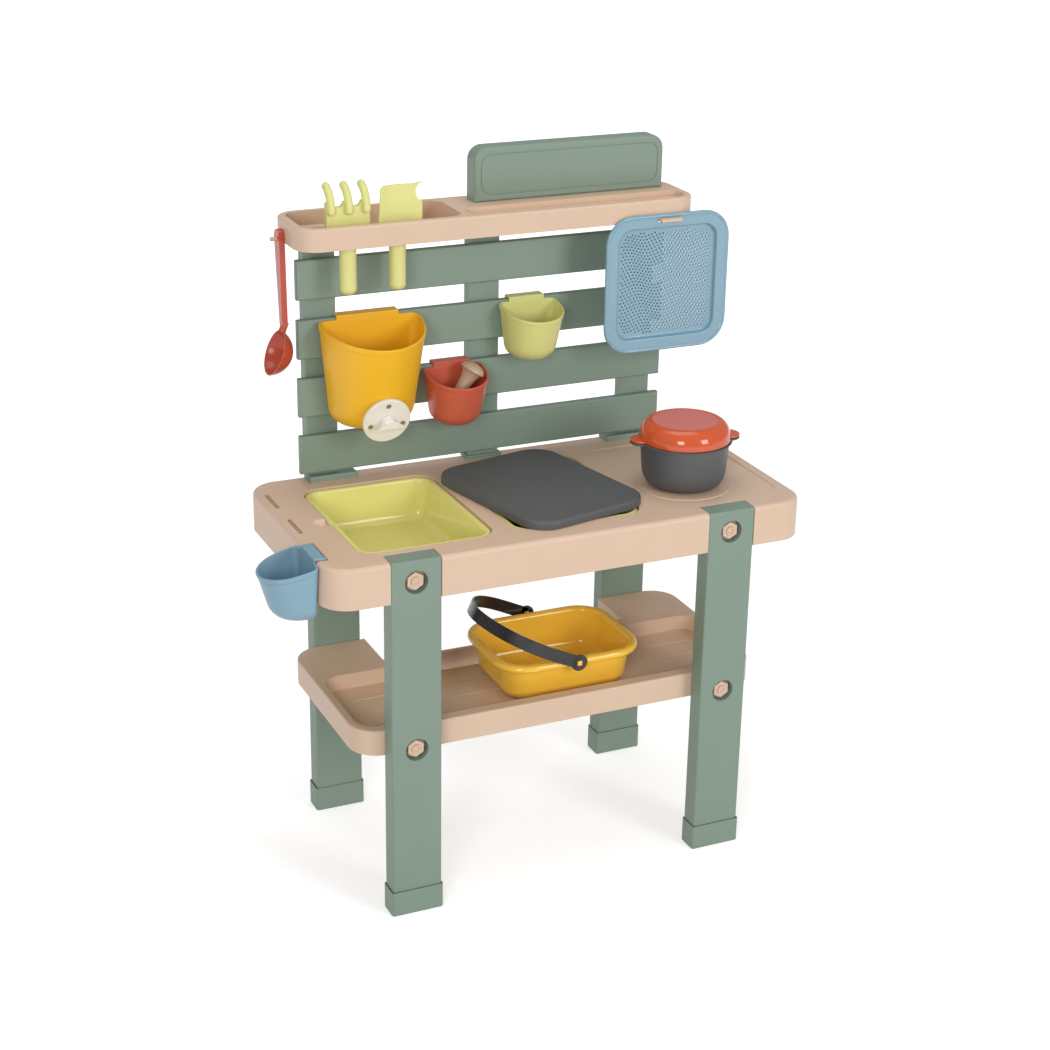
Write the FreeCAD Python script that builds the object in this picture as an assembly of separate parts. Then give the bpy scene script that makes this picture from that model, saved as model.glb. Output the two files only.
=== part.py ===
import FreeCAD, Part
import math
import os
from FreeCAD import Placement, Rotation, Vector

# Outdoor play kitchen for water, sand and mud, with its pots, cups and tools.
# Millimetres. X runs along the counter to the right, Y to the back, Z up.
# The origin is on the floor, at the centre of the four legs' footprint.

# Gaps between pieces
slip_gap = 0.1        # fixed pieces that plug into each other
rest_gap = 0.3        # loose pieces beside what carries them
hinge_gap = 0.08      # a turning stem in its bore, on the radius
overrun = 5.0         # how far a cutting solid runs past the face it cuts

# Legs and their foot caps
leg_width = 70.0
leg_thickness = 30.0
leg_centre_x = 229.5
footprint_depth = 342.0
leg_wall = 3.0
leg_edge_radius = 3.0
back_leg_rise = 8.0   # how far a back leg's top stands above the counter
leg_top_block = 15.0  # solid length at a leg's top
cap_height = 36.0
leg_top_edge_share = 0.8
cap_wall = 2.0
cap_floor = 4.0

# Counter
counter_height = 517.0
counter_length = 698.0
counter_depth = 342.0
counter_corner_radius = 40.0
counter_edge_radius = 6.0
counter_wall = 4.0
apron_height = 56.0

# Basins and the openings that hold them
basin_opening_length = 193.0
basin_opening_depth = 247.0
basin_corner_radius = 28.0
basin_left_x = -193.75
basin_middle_x = 23.25
basin_centre_y = -6.0
basin_rebate_depth = 6.0
basin_ledge_width = 7.0
basin_ledge_thickness = 4.0
basin_edge_gap = 1.0
basin_flange_thickness = 4.6
basin_flange_edge_share = 0.8
basin_depth = 66.0
basin_wall = 2.5
basin_draft = 12.0
basin_floor_radius = 14.0
finger_notch_radius = 14.0
finger_notch_depth = 9.0
finger_notch_offset = 8.0

# Cup slots in the counter's left end
cup_slot_length = 56.0
cup_slot_width = 5.5
cup_slot_inset = 11.2
cup_slot_pitch = 97.5
front_cup_slot_y = -100.0
cup_slot_count = 3

# Hob: a shallow field with a raised ring for the pot
hob_length = 186.0
hob_depth = 243.0
hob_centre_x = 238.0
hob_centre_y = -3.5
hob_corner_radius = 20.0
hob_recess = 1.2
hob_ring_radius = 67.0

# Lower shelf
shelf_length = 602.0
shelf_corner_radius = 40.0
shelf_height = 36.0
shelf_bottom_z = 231.0
shelf_wall = 4.0
shelf_end_rim = 10.0
shelf_front_rim = 17.0
shelf_back_rim = 8.0
shelf_recess_depth = 22.0
shelf_recess_radius = 26.0
shelf_arm_margin = 6.5     # how far an arm reaches inside its leg
shelf_middle_back_y = 62.0
shelf_arm_front_y = 38.0
shelf_plank_count = 4
shelf_plank_groove = 1.2
shelf_plank_groove_width = 3.0
shelf_edge_radius = 2.5

# Plastic bolts that hold the legs
bolt_shank_radius = 7.0
bolt_recess_radius = 16.0
bolt_recess_depth = 12.0
bolt_flange_radius = 14.5
bolt_flange_thickness = 2.5
bolt_hex_width = 24.0
bolt_hex_height = 6.0
bolt_boss_radius = 8.0
bolt_boss_height = 2.5
bolt_ring_radius = 5.5
bolt_ring_width = 1.2
bolt_ring_depth = 0.8
bolt_hole_gap = 0.4
bolt_reach = 12.0
bolt_socket_wall = 4.0
bolt_socket_depth = 16.0
counter_bolt_depth = 30.5  # below the counter's top
shelf_bolt_height = 15.5   # above the shelf's underside

# Back wall: posts and slats
post_width = 45.0
post_thickness = 18.5
post_wall = 3.0
post_spigot_width = 36.0
post_spigot_thickness = 11.0
post_spigot_length = 14.0
post_top_spigot = 10.0
middle_foot_width = 54.0
middle_foot_depth = 23.0
middle_foot_height = 5.0
slat_length = 554.0
slat_height = 55.0
slat_thickness = 10.0
slat_wall = 3.0
slat_edge_radius = 2.5
slat_pitch = 82.7
slat_count = 4
lowest_slat_height = 13.0  # above the counter's top
slat_boss_radius = 6.0
screw_head_radius = 4.0
screw_head_height = 2.2
screw_shank_radius = 1.8

# Tool tray on top of the posts
tray_length = 586.0
tray_front_y = 75.0
tray_back_y = 195.0
tray_stand_height = 343.0  # above the counter's top
tray_height = 30.0
tray_corner_radius = 32.0
tray_wall = 3.0
tray_rim = 11.0
tray_edge_radius = 3.0
tray_divider_x = -52.0
tray_divider_width = 10.0
tray_trough_depth = 8.0
tray_trough_width = 38.0
tray_pocket_radius = 20.0
tray_socket_height = 14.0
tool_hole_length = 30.0
tool_hole_depth = 26.0
tool_hole_radius = 10.0
tool_y = 103.0
rake_x = -218.0
shovel_x = -148.0
ladle_peg_radius = 3.0
ladle_peg_length = 17.0
ladle_peg_y = 148.0
ladle_peg_height = 5.0     # above the tray's underside
grid_middle_share = 0.5
sieve_tab_width = 33.0
sieve_tab_thickness = 4.0
sieve_tab_length = 14.0
sieve_tab_rise = 1.0

# Sign board
sign_left_x = -18.0
sign_length = 290.0
sign_front_y = 147.0
sign_thickness = 30.0
sign_height = 75.0
sign_corner_radius = 20.0
sign_edge_radius = 4.0
sign_wall = 3.0
sign_groove_inset = 9.0
sign_groove_width = 1.6
sign_groove_depth = 0.9
sign_peg_length = 30.0
sign_peg_width = 10.0
sign_peg_depth = 12.0
sign_peg_shares = (0.2, 0.8)

# Cups that hang by a hook: flat back, round front, rim falling to the front
cup_width = 88.0
cup_depth = 73.0
cup_height = 79.0
cup_base_width = 66.0
cup_base_depth = 50.0
cup_base_radius = 19.0
cup_back_corner = 6.0
cup_side_least = 1.0   # shortest straight side of a cup outline
cup_wall = 2.4
foot_steps = 5
rim_reach_share = 1.2
cup_rim_slope = 0.22
cup_band_height = 7.0
cup_band_step = 0.9
cup_hook_width = 54.0
hook_gap = 12.0
hook_thickness = 2.8
hook_drop = 13.0
hook_rim_drop = 3.5   # the rim's back edge lies this far below the hook's seat
lime_cup_x = 60.0
red_cup_x = -54.0
slats_below_lime_cup_count = 2
slats_below_red_cup_count = 1
slats_below_bucket_count = 2

# Bucket with a tap
bucket_x = -177.5
bucket_width = 140.0
bucket_depth = 106.0
bucket_height = 148.0
bucket_base_width = 112.0
bucket_base_depth = 62.0
bucket_base_radius = 26.0
bucket_back_corner = 8.0
bucket_wall = 2.8
bucket_rim_slope = 0.2
bucket_band_height = 9.0
bucket_hook_width = 82.0
tap_height = 22.0     # the tap's centre above the bucket's base, on the front wall
tap_plate_radius = 34.0
tap_plate_thickness = 5.0
tap_plate_edge = 2.0
tap_boss_depth = 15.0
tap_boss_rise = 0.6
tap_stem_radius = 6.0
tap_stem_length = 9.0
tap_barrel_radius = 11.0
tap_barrel_length = 13.0
tap_wing_length = 38.0
tap_wing_thickness = 5.0
tap_wing_depth = 12.0
tap_screw_radius = 3.6
tap_screw_height = 1.2
tap_screw_shank = 1.6
tap_screw_circle = 24.0
tap_screw_angles = (90.0, 195.0, 345.0)

# Pestle that leans in the red cup
pestle_length = 92.0
pestle_outline_shares = [0.75, 0.5, 0.6, 0.3, 0.85, 0.7, 0.5, 0.94]
pestle_head_radius = 16.5
pestle_head_height = 13.0
pestle_neck_radius = 10.5
pestle_base_radius = 9.0
pestle_lean = 33.0
pestle_forward = 23.0
pestle_foot_x_offset = -21.0
pestle_lift_above_floor = 4.3

# Board that lies askew on the middle basin
board_length = 194.0
board_depth = 250.0
board_corner_radius = 38.0
board_thickness = 12.0
board_edge_radius = 4.0
board_wall = 3.0
board_turn = 12.5
board_x = 17.0
board_y = -8.0

# Pot and lid
pot_x = 218.0
pot_y = -50.0
pot_rim_radius = 63.5
pot_base_radius = 42.0
pot_belly_radius = 60.0
pot_height = 66.0
pot_wall = 2.6
pot_curve_height = 27.0
pot_rim_height = 4.0
pot_rim_width = 2.5
ear_span = 158.0
ear_width = 34.0
ear_thickness = 3.0
ear_turn = -10.9
lid_height = 27.0
lid_top_radius = 43.5
lid_mark_share = 0.9
lid_ring_height = 4.0
lid_wall = 2.4
lid_top_recess = 0.8
lid_skirt_depth = 5.0
lid_skirt_gap = 1.5

# Basket and its carrying handle
basket_x = 30.5
basket_y = -29.5
basket_length = 224.0
basket_depth = 175.0
basket_height = 61.5
basket_rim_width = 8.0
basket_rim_height = 9.0
basket_rim_top_share = 0.45
basket_rim_low_share = 0.35
basket_corner_radius = 50.0
basket_draft = 8.0
basket_wall = 2.5
basket_floor_radius = 12.0
handle_width = 18.0
handle_thickness = 2.6
handle_reach = 131.0
handle_rest_angle = 25.5
handle_pivot_drop = 4.0
handle_eye_radius = 12.0
handle_peg_radius = 3.6
handle_peg_head = 5.4
handle_peg_head_thickness = 1.6

# Sieve on the tray's front
sieve_size_x = 193.0
sieve_size_z = 197.0
sieve_corner_radius = 40.0
sieve_flange_width = 20.0
sieve_flange_thickness = 2.5
sieve_bead_radius = 2.4
sieve_pan_depth = 10.0
sieve_wall = 2.2
sieve_pan_radius = 22.0
sieve_slot_height = 7.0
sieve_slot_margin = 2.5
sieve_slot_from_top = 9.0
sieve_stand_off = 4.0
sieve_hole_radius = 1.5
sieve_hole_rows = 16
sieve_field_share = 0.86

# Ladle on its peg
ladle_length = 131.0
ladle_lean = 9.0
ladle_top_width = 22.0
ladle_neck_width = 12.0
ladle_thickness = 8.0
ladle_hole_from_top = 13.0
ladle_bowl_radius = 32.0
ladle_bowl_depth = 24.0
ladle_bowl_tilt = 21.6
ladle_wall = 2.2
ladle_link_share = 0.85   # the link's radius and reach, against the neck and the bowl

# Rake and shovel that hang through the tray
tool_handle_radius = 11.5
tool_handle_length = 71.0
tool_handle_end_share = 0.8
tool_head_width = 62.0
rake_palm_height = 48.0
rake_shoulder_share = 0.5
rake_palm_thickness = 10.0
rake_tine_radius = 5.5
rake_tine_pitch = 24.5
rake_tine_stand_off = 3.0        # from the palm's front to a tine's middle
rake_tine_start_height = 44.0    # where the ribs begin, above the palm's foot
rake_tine_bend = 31.5
rake_tine_sweep = 71.0
shovel_blade_height = 73.0
shovel_blade_wall = 3.0
shovel_blade_hollow = 7.0
shovel_flat_width = 20.0
shovel_set_forward = 3.0
shovel_corner = 7.0
corner_share = 0.2929   # a quarter turn's middle, from its corner
shovel_side_lean = 4.0
shovel_beak_rise = 3.0
shovel_beak_reach = 1.5
shovel_beak_length = 14.0
shovel_notch_depth = 8.0
shovel_notch_middle = 13.0
shovel_notch_end = 23.0

# Heights and places that follow from the sizes above
half_depth = footprint_depth / 2
leg_inner_y = half_depth - leg_thickness
leg_edge_x = leg_centre_x + leg_width / 2
apron_bottom_z = counter_height - apron_height
counter_bolt_z = counter_height - counter_bolt_depth
shelf_bolt_z = shelf_bottom_z + shelf_bolt_height
shelf_top_z = shelf_bottom_z + shelf_height
shelf_arm_inner_x = leg_centre_x - leg_width / 2 - shelf_arm_margin
shelf_floor_z = shelf_top_z - shelf_recess_depth
slat_front_y = half_depth - post_thickness - slat_thickness
post_front_y = half_depth - post_thickness
post_x = leg_edge_x - post_width / 2
lowest_slat_z = counter_height + lowest_slat_height
tray_bottom_z = counter_height + tray_stand_height
tray_top_z = tray_bottom_z + tray_height
tray_floor_z = tray_bottom_z + tray_wall
ladle_peg_z = tray_bottom_z + ladle_peg_height


def save(node, shape):
    """Write one node, whose name is the file's name."""
    shape.exportStep("parts/" + node + ".step")


def box(x0, x1, y0, y1, z0, z1):
    """Box between two values on each axis."""
    return Part.makeBox(x1 - x0, y1 - y0, z1 - z0, Vector(x0, y0, z0))


def rod(radius, start, end):
    """Round bar from one point to another."""
    axis = end.sub(start)
    return Part.makeCylinder(radius, axis.Length, start, axis)


def arc(centre, radius, from_deg, to_deg):
    """Arc in a level plane, counter-clockwise seen from above."""
    circle = Part.Circle(centre, Vector(0, 0, 1), radius)
    return Part.Arc(circle, math.radians(from_deg), math.radians(to_deg)).toShape()


def join(pieces):
    """Fuse pieces that are one moulding."""
    return pieces[0].multiFuse(pieces[1:]).removeSplitter()


def rounded_wire(x0, x1, y0, y1, radius, z):
    """Rectangle with round corners, in a level plane."""
    corners = (
        (x1 - radius, y1 - radius, 0),
        (x0 + radius, y1 - radius, 90),
        (x0 + radius, y0 + radius, 180),
        (x1 - radius, y0 + radius, 270),
    )
    bends = [arc(Vector(x, y, z), radius, turn, turn + 90) for x, y, turn in corners]
    edges = []
    for index, bend in enumerate(bends):
        edges.append(bend)
        following = bends[(index + 1) % len(bends)]
        edges.append(Part.makeLine(bend.Vertexes[-1].Point, following.Vertexes[0].Point))
    return Part.Wire(edges)


def slab(x0, x1, y0, y1, radius, z0, z1):
    """Upright prism on a round-cornered rectangle."""
    face = Part.Face(rounded_wire(x0, x1, y0, y1, radius, z0))
    return face.extrude(Vector(0, 0, z1 - z0))


def centred_slab(x, y, length, depth, radius, z0, z1):
    """Slab given by its centre, length and depth."""
    return slab(x - length / 2, x + length / 2, y - depth / 2, y + depth / 2, radius, z0, z1)


def tub_loft(x, y, top, bottom, z0, z1):
    """Tapered tub body; top and bottom are (length, depth, corner radius)."""
    wires = []
    for (length, depth, radius), z in ((bottom, z0), (top, z1)):
        wires.append(rounded_wire(x - length / 2, x + length / 2,
                                  y - depth / 2, y + depth / 2, radius, z))
    return Part.makeLoft(wires, True, True)


def edges_at(shape, test):
    """Edges whose middle and box pass a test."""
    return [edge for edge in shape.Edges if test(edge.BoundBox)]


def round_level_edges(shape, z, radius):
    """Round every edge that lies in one level plane."""
    flat = slip_gap
    picked = edges_at(shape, lambda b: abs(b.ZMin - z) < flat and abs(b.ZMax - z) < flat)
    return shape.makeFillet(radius, picked)


def round_upright_edges(shape, radius):
    """Round the straight edges that run along Z."""
    flat = slip_gap
    picked = edges_at(shape, lambda b: b.ZLength > radius and b.XLength < flat and b.YLength < flat)
    return shape.makeFillet(radius, picked)


def mirror_y(shape):
    """The same shape on the other side of the XZ plane."""
    return shape.mirror(Vector(0, 0, 0), Vector(0, 1, 0))


def hexagon_prism(width, height, start, axis_sign):
    """Hexagonal prism along Y from its start point."""
    corner_radius = width / 2 / math.cos(math.pi / 6)
    points = []
    for step in range(7):
        angle = math.radians(60 * step)
        points.append(Vector(start.x + corner_radius * math.cos(angle), start.y,
                             start.z + corner_radius * math.sin(angle)))
    face = Part.Face(Part.makePolygon(points))
    return face.extrude(Vector(0, axis_sign * height, 0))


def turned(points, centre):
    """Body of revolution about a vertical line; points are (radius, height) pairs."""
    outline = [Vector(centre.x + r, centre.y, centre.z + h) for r, h in points]
    outline.append(outline[0])
    face = Part.Face(Part.makePolygon(outline))
    return face.revolve(centre, Vector(0, 0, 1), 360)


# Legs

def leg_blank(x, z0, z1):
    """Front leg: a hollow plank with its outer face to the front."""
    left, right = x - leg_width / 2, x + leg_width / 2
    plank = round_upright_edges(box(left, right, -half_depth, -leg_inner_y, z0, z1),
                                leg_edge_radius)
    top_edges = edges_at(plank, lambda b: abs(b.ZMin - z1) < slip_gap
                         and abs(b.YMax + half_depth) < slip_gap)
    plank = plank.makeFillet(leg_edge_radius * leg_top_edge_share, top_edges)
    hollow = box(left + leg_wall, right - leg_wall, -half_depth + leg_wall,
                 -leg_inner_y - leg_wall, z0 - overrun, z1 - leg_top_block)
    return plank.cut(hollow)


def add_bolt_seat(leg, x, z):
    """Recess, its cup and the bore that a bolt needs in a front leg."""
    front = Vector(x, -half_depth, z)
    floor = Vector(x, -half_depth + bolt_recess_depth, z)
    back = Vector(x, -leg_inner_y, z)
    cup_end = Vector(x, floor.y + leg_wall, z)
    inner_front = Vector(x, -half_depth + leg_edge_radius, z)
    leg = join([leg, rod(bolt_recess_radius + leg_wall, inner_front, cup_end),
                rod(bolt_shank_radius + leg_wall, floor, back)])
    past_front = Vector(x, -half_depth - overrun, z)
    past_back = Vector(x, -leg_inner_y + overrun, z)
    leg = leg.cut(rod(bolt_recess_radius, past_front, floor))
    return leg.cut(rod(bolt_shank_radius + bolt_hole_gap / 2, front, past_back))


def make_leg(x, z1):
    """One front leg with both bolt seats."""
    leg = leg_blank(x, cap_floor, z1)
    leg = add_bolt_seat(leg, x, counter_bolt_z)
    return add_bolt_seat(leg, x, shelf_bolt_z)


def make_foot_cap(x):
    """Cap that a front leg's lower end stands in."""
    half = leg_width / 2 + cap_wall
    cap = box(x - half, x + half, -half_depth - cap_wall, -leg_inner_y + cap_wall, 0, cap_height)
    cap = round_upright_edges(cap, leg_edge_radius + cap_wall / 2)
    cap = round_level_edges(cap, cap_height, cap_wall / 4)
    socket = leg_width / 2 + slip_gap
    pocket = box(x - socket, x + socket, -half_depth - slip_gap, -leg_inner_y + slip_gap,
                 cap_floor, cap_height + overrun)
    return cap.cut(pocket)


def bolt_at(x, z):
    """Bolt from a front leg's recess into the socket behind the leg."""
    floor_y = -half_depth + bolt_recess_depth
    end_y = -leg_inner_y + bolt_reach
    flange_front = floor_y - bolt_flange_thickness
    hex_front = flange_front - bolt_hex_height
    boss_front = hex_front - bolt_boss_height
    flange = rod(bolt_flange_radius, Vector(x, flange_front, z), Vector(x, floor_y, z))
    head = hexagon_prism(bolt_hex_width, bolt_hex_height, Vector(x, flange_front, z), -1)
    boss = rod(bolt_boss_radius, Vector(x, boss_front, z), Vector(x, hex_front, z))
    shank = rod(bolt_shank_radius, Vector(x, floor_y, z), Vector(x, end_y, z))
    groove_start = Vector(x, boss_front, z)
    groove_end = Vector(x, boss_front + bolt_ring_depth, z)
    groove = rod(bolt_ring_radius, groove_start, groove_end)
    groove = groove.cut(rod(bolt_ring_radius - bolt_ring_width, groove_start, groove_end))
    return join([flange, head, boss, shank]).cut(groove)


def bolt_socket(x, z):
    """Boss behind a front leg that its bolt screws into."""
    half = bolt_shank_radius + bolt_socket_wall
    return box(x - half, x + half, -leg_inner_y, -leg_inner_y + bolt_socket_depth,
               z - half, z + half)


def bolt_hole(x, z):
    """Blind hole in that boss."""
    return rod(bolt_shank_radius + bolt_hole_gap / 2, Vector(x, -half_depth - overrun, z),
               Vector(x, -leg_inner_y + bolt_reach + bolt_hole_gap, z))


def make_legs():
    """Four legs, four caps, and the bolts at two heights."""
    back_top = counter_height + back_leg_rise
    for side, x in (("left", -leg_centre_x), ("right", leg_centre_x)):
        save("leg_front_" + side, make_leg(x, counter_height))
        back_leg = mirror_y(make_leg(x, back_top))
        post_side = post_x if x > 0 else -post_x
        socket = post_spigot_width / 2 + slip_gap
        socket_y = half_depth - post_thickness / 2
        reach_y = post_spigot_thickness / 2 + slip_gap
        back_leg = back_leg.cut(box(post_side - socket, post_side + socket, socket_y - reach_y,
                                    socket_y + reach_y, back_top - post_spigot_length,
                                    back_top + overrun))
        save("leg_back_" + side, back_leg)
        save("foot_cap_front_" + side, make_foot_cap(x))
        save("foot_cap_back_" + side, mirror_y(make_foot_cap(x)))
    for name, z in (("counter", counter_bolt_z), ("shelf", shelf_bolt_z)):
        bolts = [bolt_at(x, z) for x in (-leg_centre_x, leg_centre_x)]
        save(name + "_bolts", Part.makeCompound(bolts + [mirror_y(b) for b in bolts]))


# Counter

def leg_notch(x, wall):
    """Space that a front leg takes out of the apron, grown by a wall on three sides."""
    half = leg_width / 2 + slip_gap + wall
    return box(x - half, x + half, -counter_depth / 2 - overrun, -leg_inner_y + wall,
               apron_bottom_z - overrun, counter_height + overrun)


def make_counter():
    """Counter top with apron, leg notches, basin ledges, cup slots and hob."""
    half_length, half = counter_length / 2, counter_depth / 2
    outer = slab(-half_length, half_length, -half, half, counter_corner_radius,
                 apron_bottom_z, counter_height)
    outer = round_level_edges(outer, counter_height, counter_edge_radius)
    under = slab(-half_length + counter_wall, half_length - counter_wall, -half + counter_wall,
                 half - counter_wall, counter_corner_radius - counter_wall,
                 apron_bottom_z - overrun, counter_height - counter_wall)
    walls = []
    for x in (-leg_centre_x, leg_centre_x):
        walls.append(leg_notch(x, counter_wall).common(outer))
        walls.append(mirror_y(leg_notch(x, counter_wall)).common(outer))
        walls.append(bolt_socket(x, counter_bolt_z))
        walls.append(mirror_y(bolt_socket(x, counter_bolt_z)))
    rebate_z = counter_height - basin_rebate_depth
    ledge_z = rebate_z - basin_ledge_thickness
    for x in (basin_left_x, basin_middle_x):
        walls.append(centred_slab(x, basin_centre_y, basin_opening_length + 2 * counter_wall,
                                  basin_opening_depth + 2 * counter_wall,
                                  basin_corner_radius + counter_wall, ledge_z, counter_height))
    notch_x = basin_left_x - basin_opening_length / 2 - finger_notch_offset
    notch_floor = counter_height - finger_notch_depth
    walls.append(rod(finger_notch_radius + counter_wall,
                     Vector(notch_x, basin_centre_y, notch_floor - counter_wall),
                     Vector(notch_x, basin_centre_y, counter_height - counter_wall / 2)))
    foot_half = middle_foot_width / 2
    walls.append(box(-foot_half, foot_half, half - middle_foot_depth, half - counter_wall,
                     counter_height - post_spigot_length, counter_height - counter_wall / 2))
    shape = join([outer.cut(under)] + walls)
    for x in (-leg_centre_x, leg_centre_x):
        shape = shape.cut(leg_notch(x, 0))
        shape = shape.cut(mirror_y(leg_notch(x, 0)))
        shape = shape.cut(bolt_hole(x, counter_bolt_z))
        shape = shape.cut(mirror_y(bolt_hole(x, counter_bolt_z)))
    for x in (basin_left_x, basin_middle_x):
        shape = shape.cut(centred_slab(x, basin_centre_y, basin_opening_length,
                                       basin_opening_depth, basin_corner_radius,
                                       rebate_z, counter_height + overrun))
        shape = shape.cut(centred_slab(x, basin_centre_y,
                                       basin_opening_length - 2 * basin_ledge_width,
                                       basin_opening_depth - 2 * basin_ledge_width,
                                       basin_corner_radius - basin_ledge_width,
                                       ledge_z - overrun, counter_height + overrun))
    scoop = bowl_body(finger_notch_radius, finger_notch_depth)
    scoop.translate(Vector(notch_x, basin_centre_y, counter_height))
    shape = shape.cut(scoop)
    slot_x = -half_length + cup_slot_inset
    for index in range(cup_slot_count):
        y = front_cup_slot_y + index * cup_slot_pitch
        shape = shape.cut(box(slot_x, slot_x + cup_slot_width, y - cup_slot_length / 2,
                              y + cup_slot_length / 2, counter_height - 2 * counter_wall,
                              counter_height + overrun))
    hob = centred_slab(hob_centre_x, hob_centre_y, hob_length, hob_depth, hob_corner_radius,
                       counter_height - hob_recess, counter_height + overrun)
    hob = hob.cut(rod(hob_ring_radius, Vector(pot_x, pot_y, counter_height - hob_recess),
                      Vector(pot_x, pot_y, counter_height + overrun)))
    shape = shape.cut(hob)
    socket = post_spigot_width / 2 + slip_gap
    socket_y = half_depth - post_thickness / 2
    reach_y = post_spigot_thickness / 2 + slip_gap
    return shape.cut(box(-socket, socket, socket_y - reach_y, socket_y + reach_y,
                         counter_height - post_spigot_length, counter_height + overrun))


# Lower shelf

def shelf_outline(inset, z0, z1):
    """The shelf's plan, drawn in by an inset: a tray with two arms to the back legs."""
    half_length = shelf_length / 2 - inset
    radius = shelf_corner_radius - inset
    whole = slab(-half_length, half_length, -leg_inner_y + inset, leg_inner_y - inset,
                 radius, z0, z1)
    gap_half = shelf_arm_inner_x + inset
    gap = slab(-gap_half, gap_half, shelf_middle_back_y - inset, leg_inner_y + shelf_corner_radius,
               shelf_wall, z0 - overrun, z1 + overrun)
    return whole.cut(gap)


def make_shelf():
    """Shelf with a recessed floor, raised arms at the back and plank grooves."""
    outer = shelf_outline(0, shelf_bottom_z, shelf_top_z)
    outer = round_level_edges(outer, shelf_top_z, shelf_edge_radius)
    recess = slab(-shelf_length / 2 + shelf_end_rim, shelf_length / 2 - shelf_end_rim,
                  -leg_inner_y + shelf_front_rim, shelf_arm_front_y, shelf_recess_radius,
                  shelf_floor_z, shelf_top_z + overrun)
    middle_half = shelf_arm_inner_x - shelf_back_rim
    middle = slab(-middle_half, middle_half, 0, shelf_middle_back_y - shelf_back_rim,
                  shelf_back_rim, shelf_floor_z, shelf_top_z + overrun)
    recess = recess.fuse(middle)
    under_floor = shelf_outline(shelf_wall, shelf_bottom_z - overrun,
                                shelf_floor_z - shelf_wall)
    under_arms = shelf_outline(shelf_wall, shelf_bottom_z - overrun, shelf_top_z - shelf_wall)
    under_arms = under_arms.common(box(-shelf_length, shelf_length,
                                       shelf_arm_front_y + shelf_wall, shelf_length,
                                       shelf_bottom_z - overrun, shelf_top_z))
    shape = outer.cut(recess).cut(under_floor).cut(under_arms)
    sockets = []
    for x in (-leg_centre_x, leg_centre_x):
        sockets.append(bolt_socket(x, shelf_bolt_z))
        sockets.append(mirror_y(bolt_socket(x, shelf_bolt_z)))
    shape = join([shape] + sockets)
    plank = (shelf_arm_front_y + leg_inner_y - shelf_front_rim) / shelf_plank_count
    groove_half = shelf_length / 2 - shelf_end_rim - shelf_recess_radius
    for index in range(1, shelf_plank_count):
        y = -leg_inner_y + shelf_front_rim + index * plank
        shape = shape.cut(box(-groove_half, groove_half, y - shelf_plank_groove_width / 2,
                              y + shelf_plank_groove_width / 2,
                              shelf_floor_z - shelf_plank_groove, shelf_top_z))
    for x in (-leg_centre_x, leg_centre_x):
        shape = shape.cut(bolt_hole(x, shelf_bolt_z))
        shape = shape.cut(mirror_y(bolt_hole(x, shelf_bolt_z)))
    return shape


# Back wall

def make_post(x, z0, foot):
    """Post between its foot and the tray, with a spigot at each end."""
    left, right = x - post_width / 2, x + post_width / 2
    middle_y = half_depth - post_thickness / 2
    body = box(left, right, post_front_y, half_depth, z0, tray_bottom_z)
    body = body.cut(box(left + post_wall, right - post_wall, post_front_y + post_wall,
                        half_depth - post_wall, z0 + post_wall, tray_bottom_z - post_wall))
    half, reach = post_spigot_width / 2, post_spigot_thickness / 2
    spigots = box(x - half, x + half, middle_y - reach, middle_y + reach,
                  z0 - post_spigot_length + rest_gap, z0)
    tip = box(x - half, x + half, middle_y - reach, middle_y + reach, tray_bottom_z,
              tray_bottom_z + post_top_spigot)
    pieces = [body, spigots, tip]
    if foot:
        pieces.append(box(-middle_foot_width / 2, middle_foot_width / 2,
                          half_depth - middle_foot_depth, half_depth,
                          z0, z0 + middle_foot_height))
    shape = join(pieces)
    for index in range(slat_count):
        z = lowest_slat_z + index * slat_pitch + slat_height / 2
        shape = shape.cut(rod(screw_shank_radius + slip_gap,
                              Vector(x, post_front_y - overrun, z),
                              Vector(x, half_depth + overrun, z)))
    return shape


def make_slat(index):
    """Slat with its smooth face to the front and a screw boss at each post."""
    z0 = lowest_slat_z + index * slat_pitch
    half = slat_length / 2
    slat = box(-half, half, slat_front_y, post_front_y, z0, z0 + slat_height)
    front = edges_at(slat, lambda b: b.YMax - slat_front_y < slip_gap)
    slat = slat.makeFillet(slat_edge_radius, front)
    slat = slat.cut(box(-half + slat_wall, half - slat_wall, slat_front_y + slat_wall,
                        post_front_y + overrun, z0 + slat_wall, z0 + slat_height - slat_wall))
    z = z0 + slat_height / 2
    bosses = []
    for x in (-post_x, 0, post_x):
        bosses.append(rod(slat_boss_radius, Vector(x, slat_front_y + slat_wall / 2, z),
                          Vector(x, post_front_y, z)))
    slat = join([slat] + bosses)
    for x in (-post_x, 0, post_x):
        slat = slat.cut(rod(screw_shank_radius + slip_gap,
                            Vector(x, slat_front_y + slat_wall, z),
                            Vector(x, post_front_y + overrun, z)))
    return slat


def make_slat_screws():
    """Screws from behind, through each post into each slat."""
    screws = []
    for index in range(slat_count):
        z = lowest_slat_z + index * slat_pitch + slat_height / 2
        for x in (-post_x, 0, post_x):
            head = rod(screw_head_radius, Vector(x, half_depth, z),
                       Vector(x, half_depth + screw_head_height, z))
            shank = rod(screw_shank_radius, Vector(x, slat_front_y + 2 * slat_wall, z),
                        Vector(x, half_depth, z))
            screws.append(join([head, shank]))
    return Part.makeCompound(screws)


# Tool tray and sign

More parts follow.
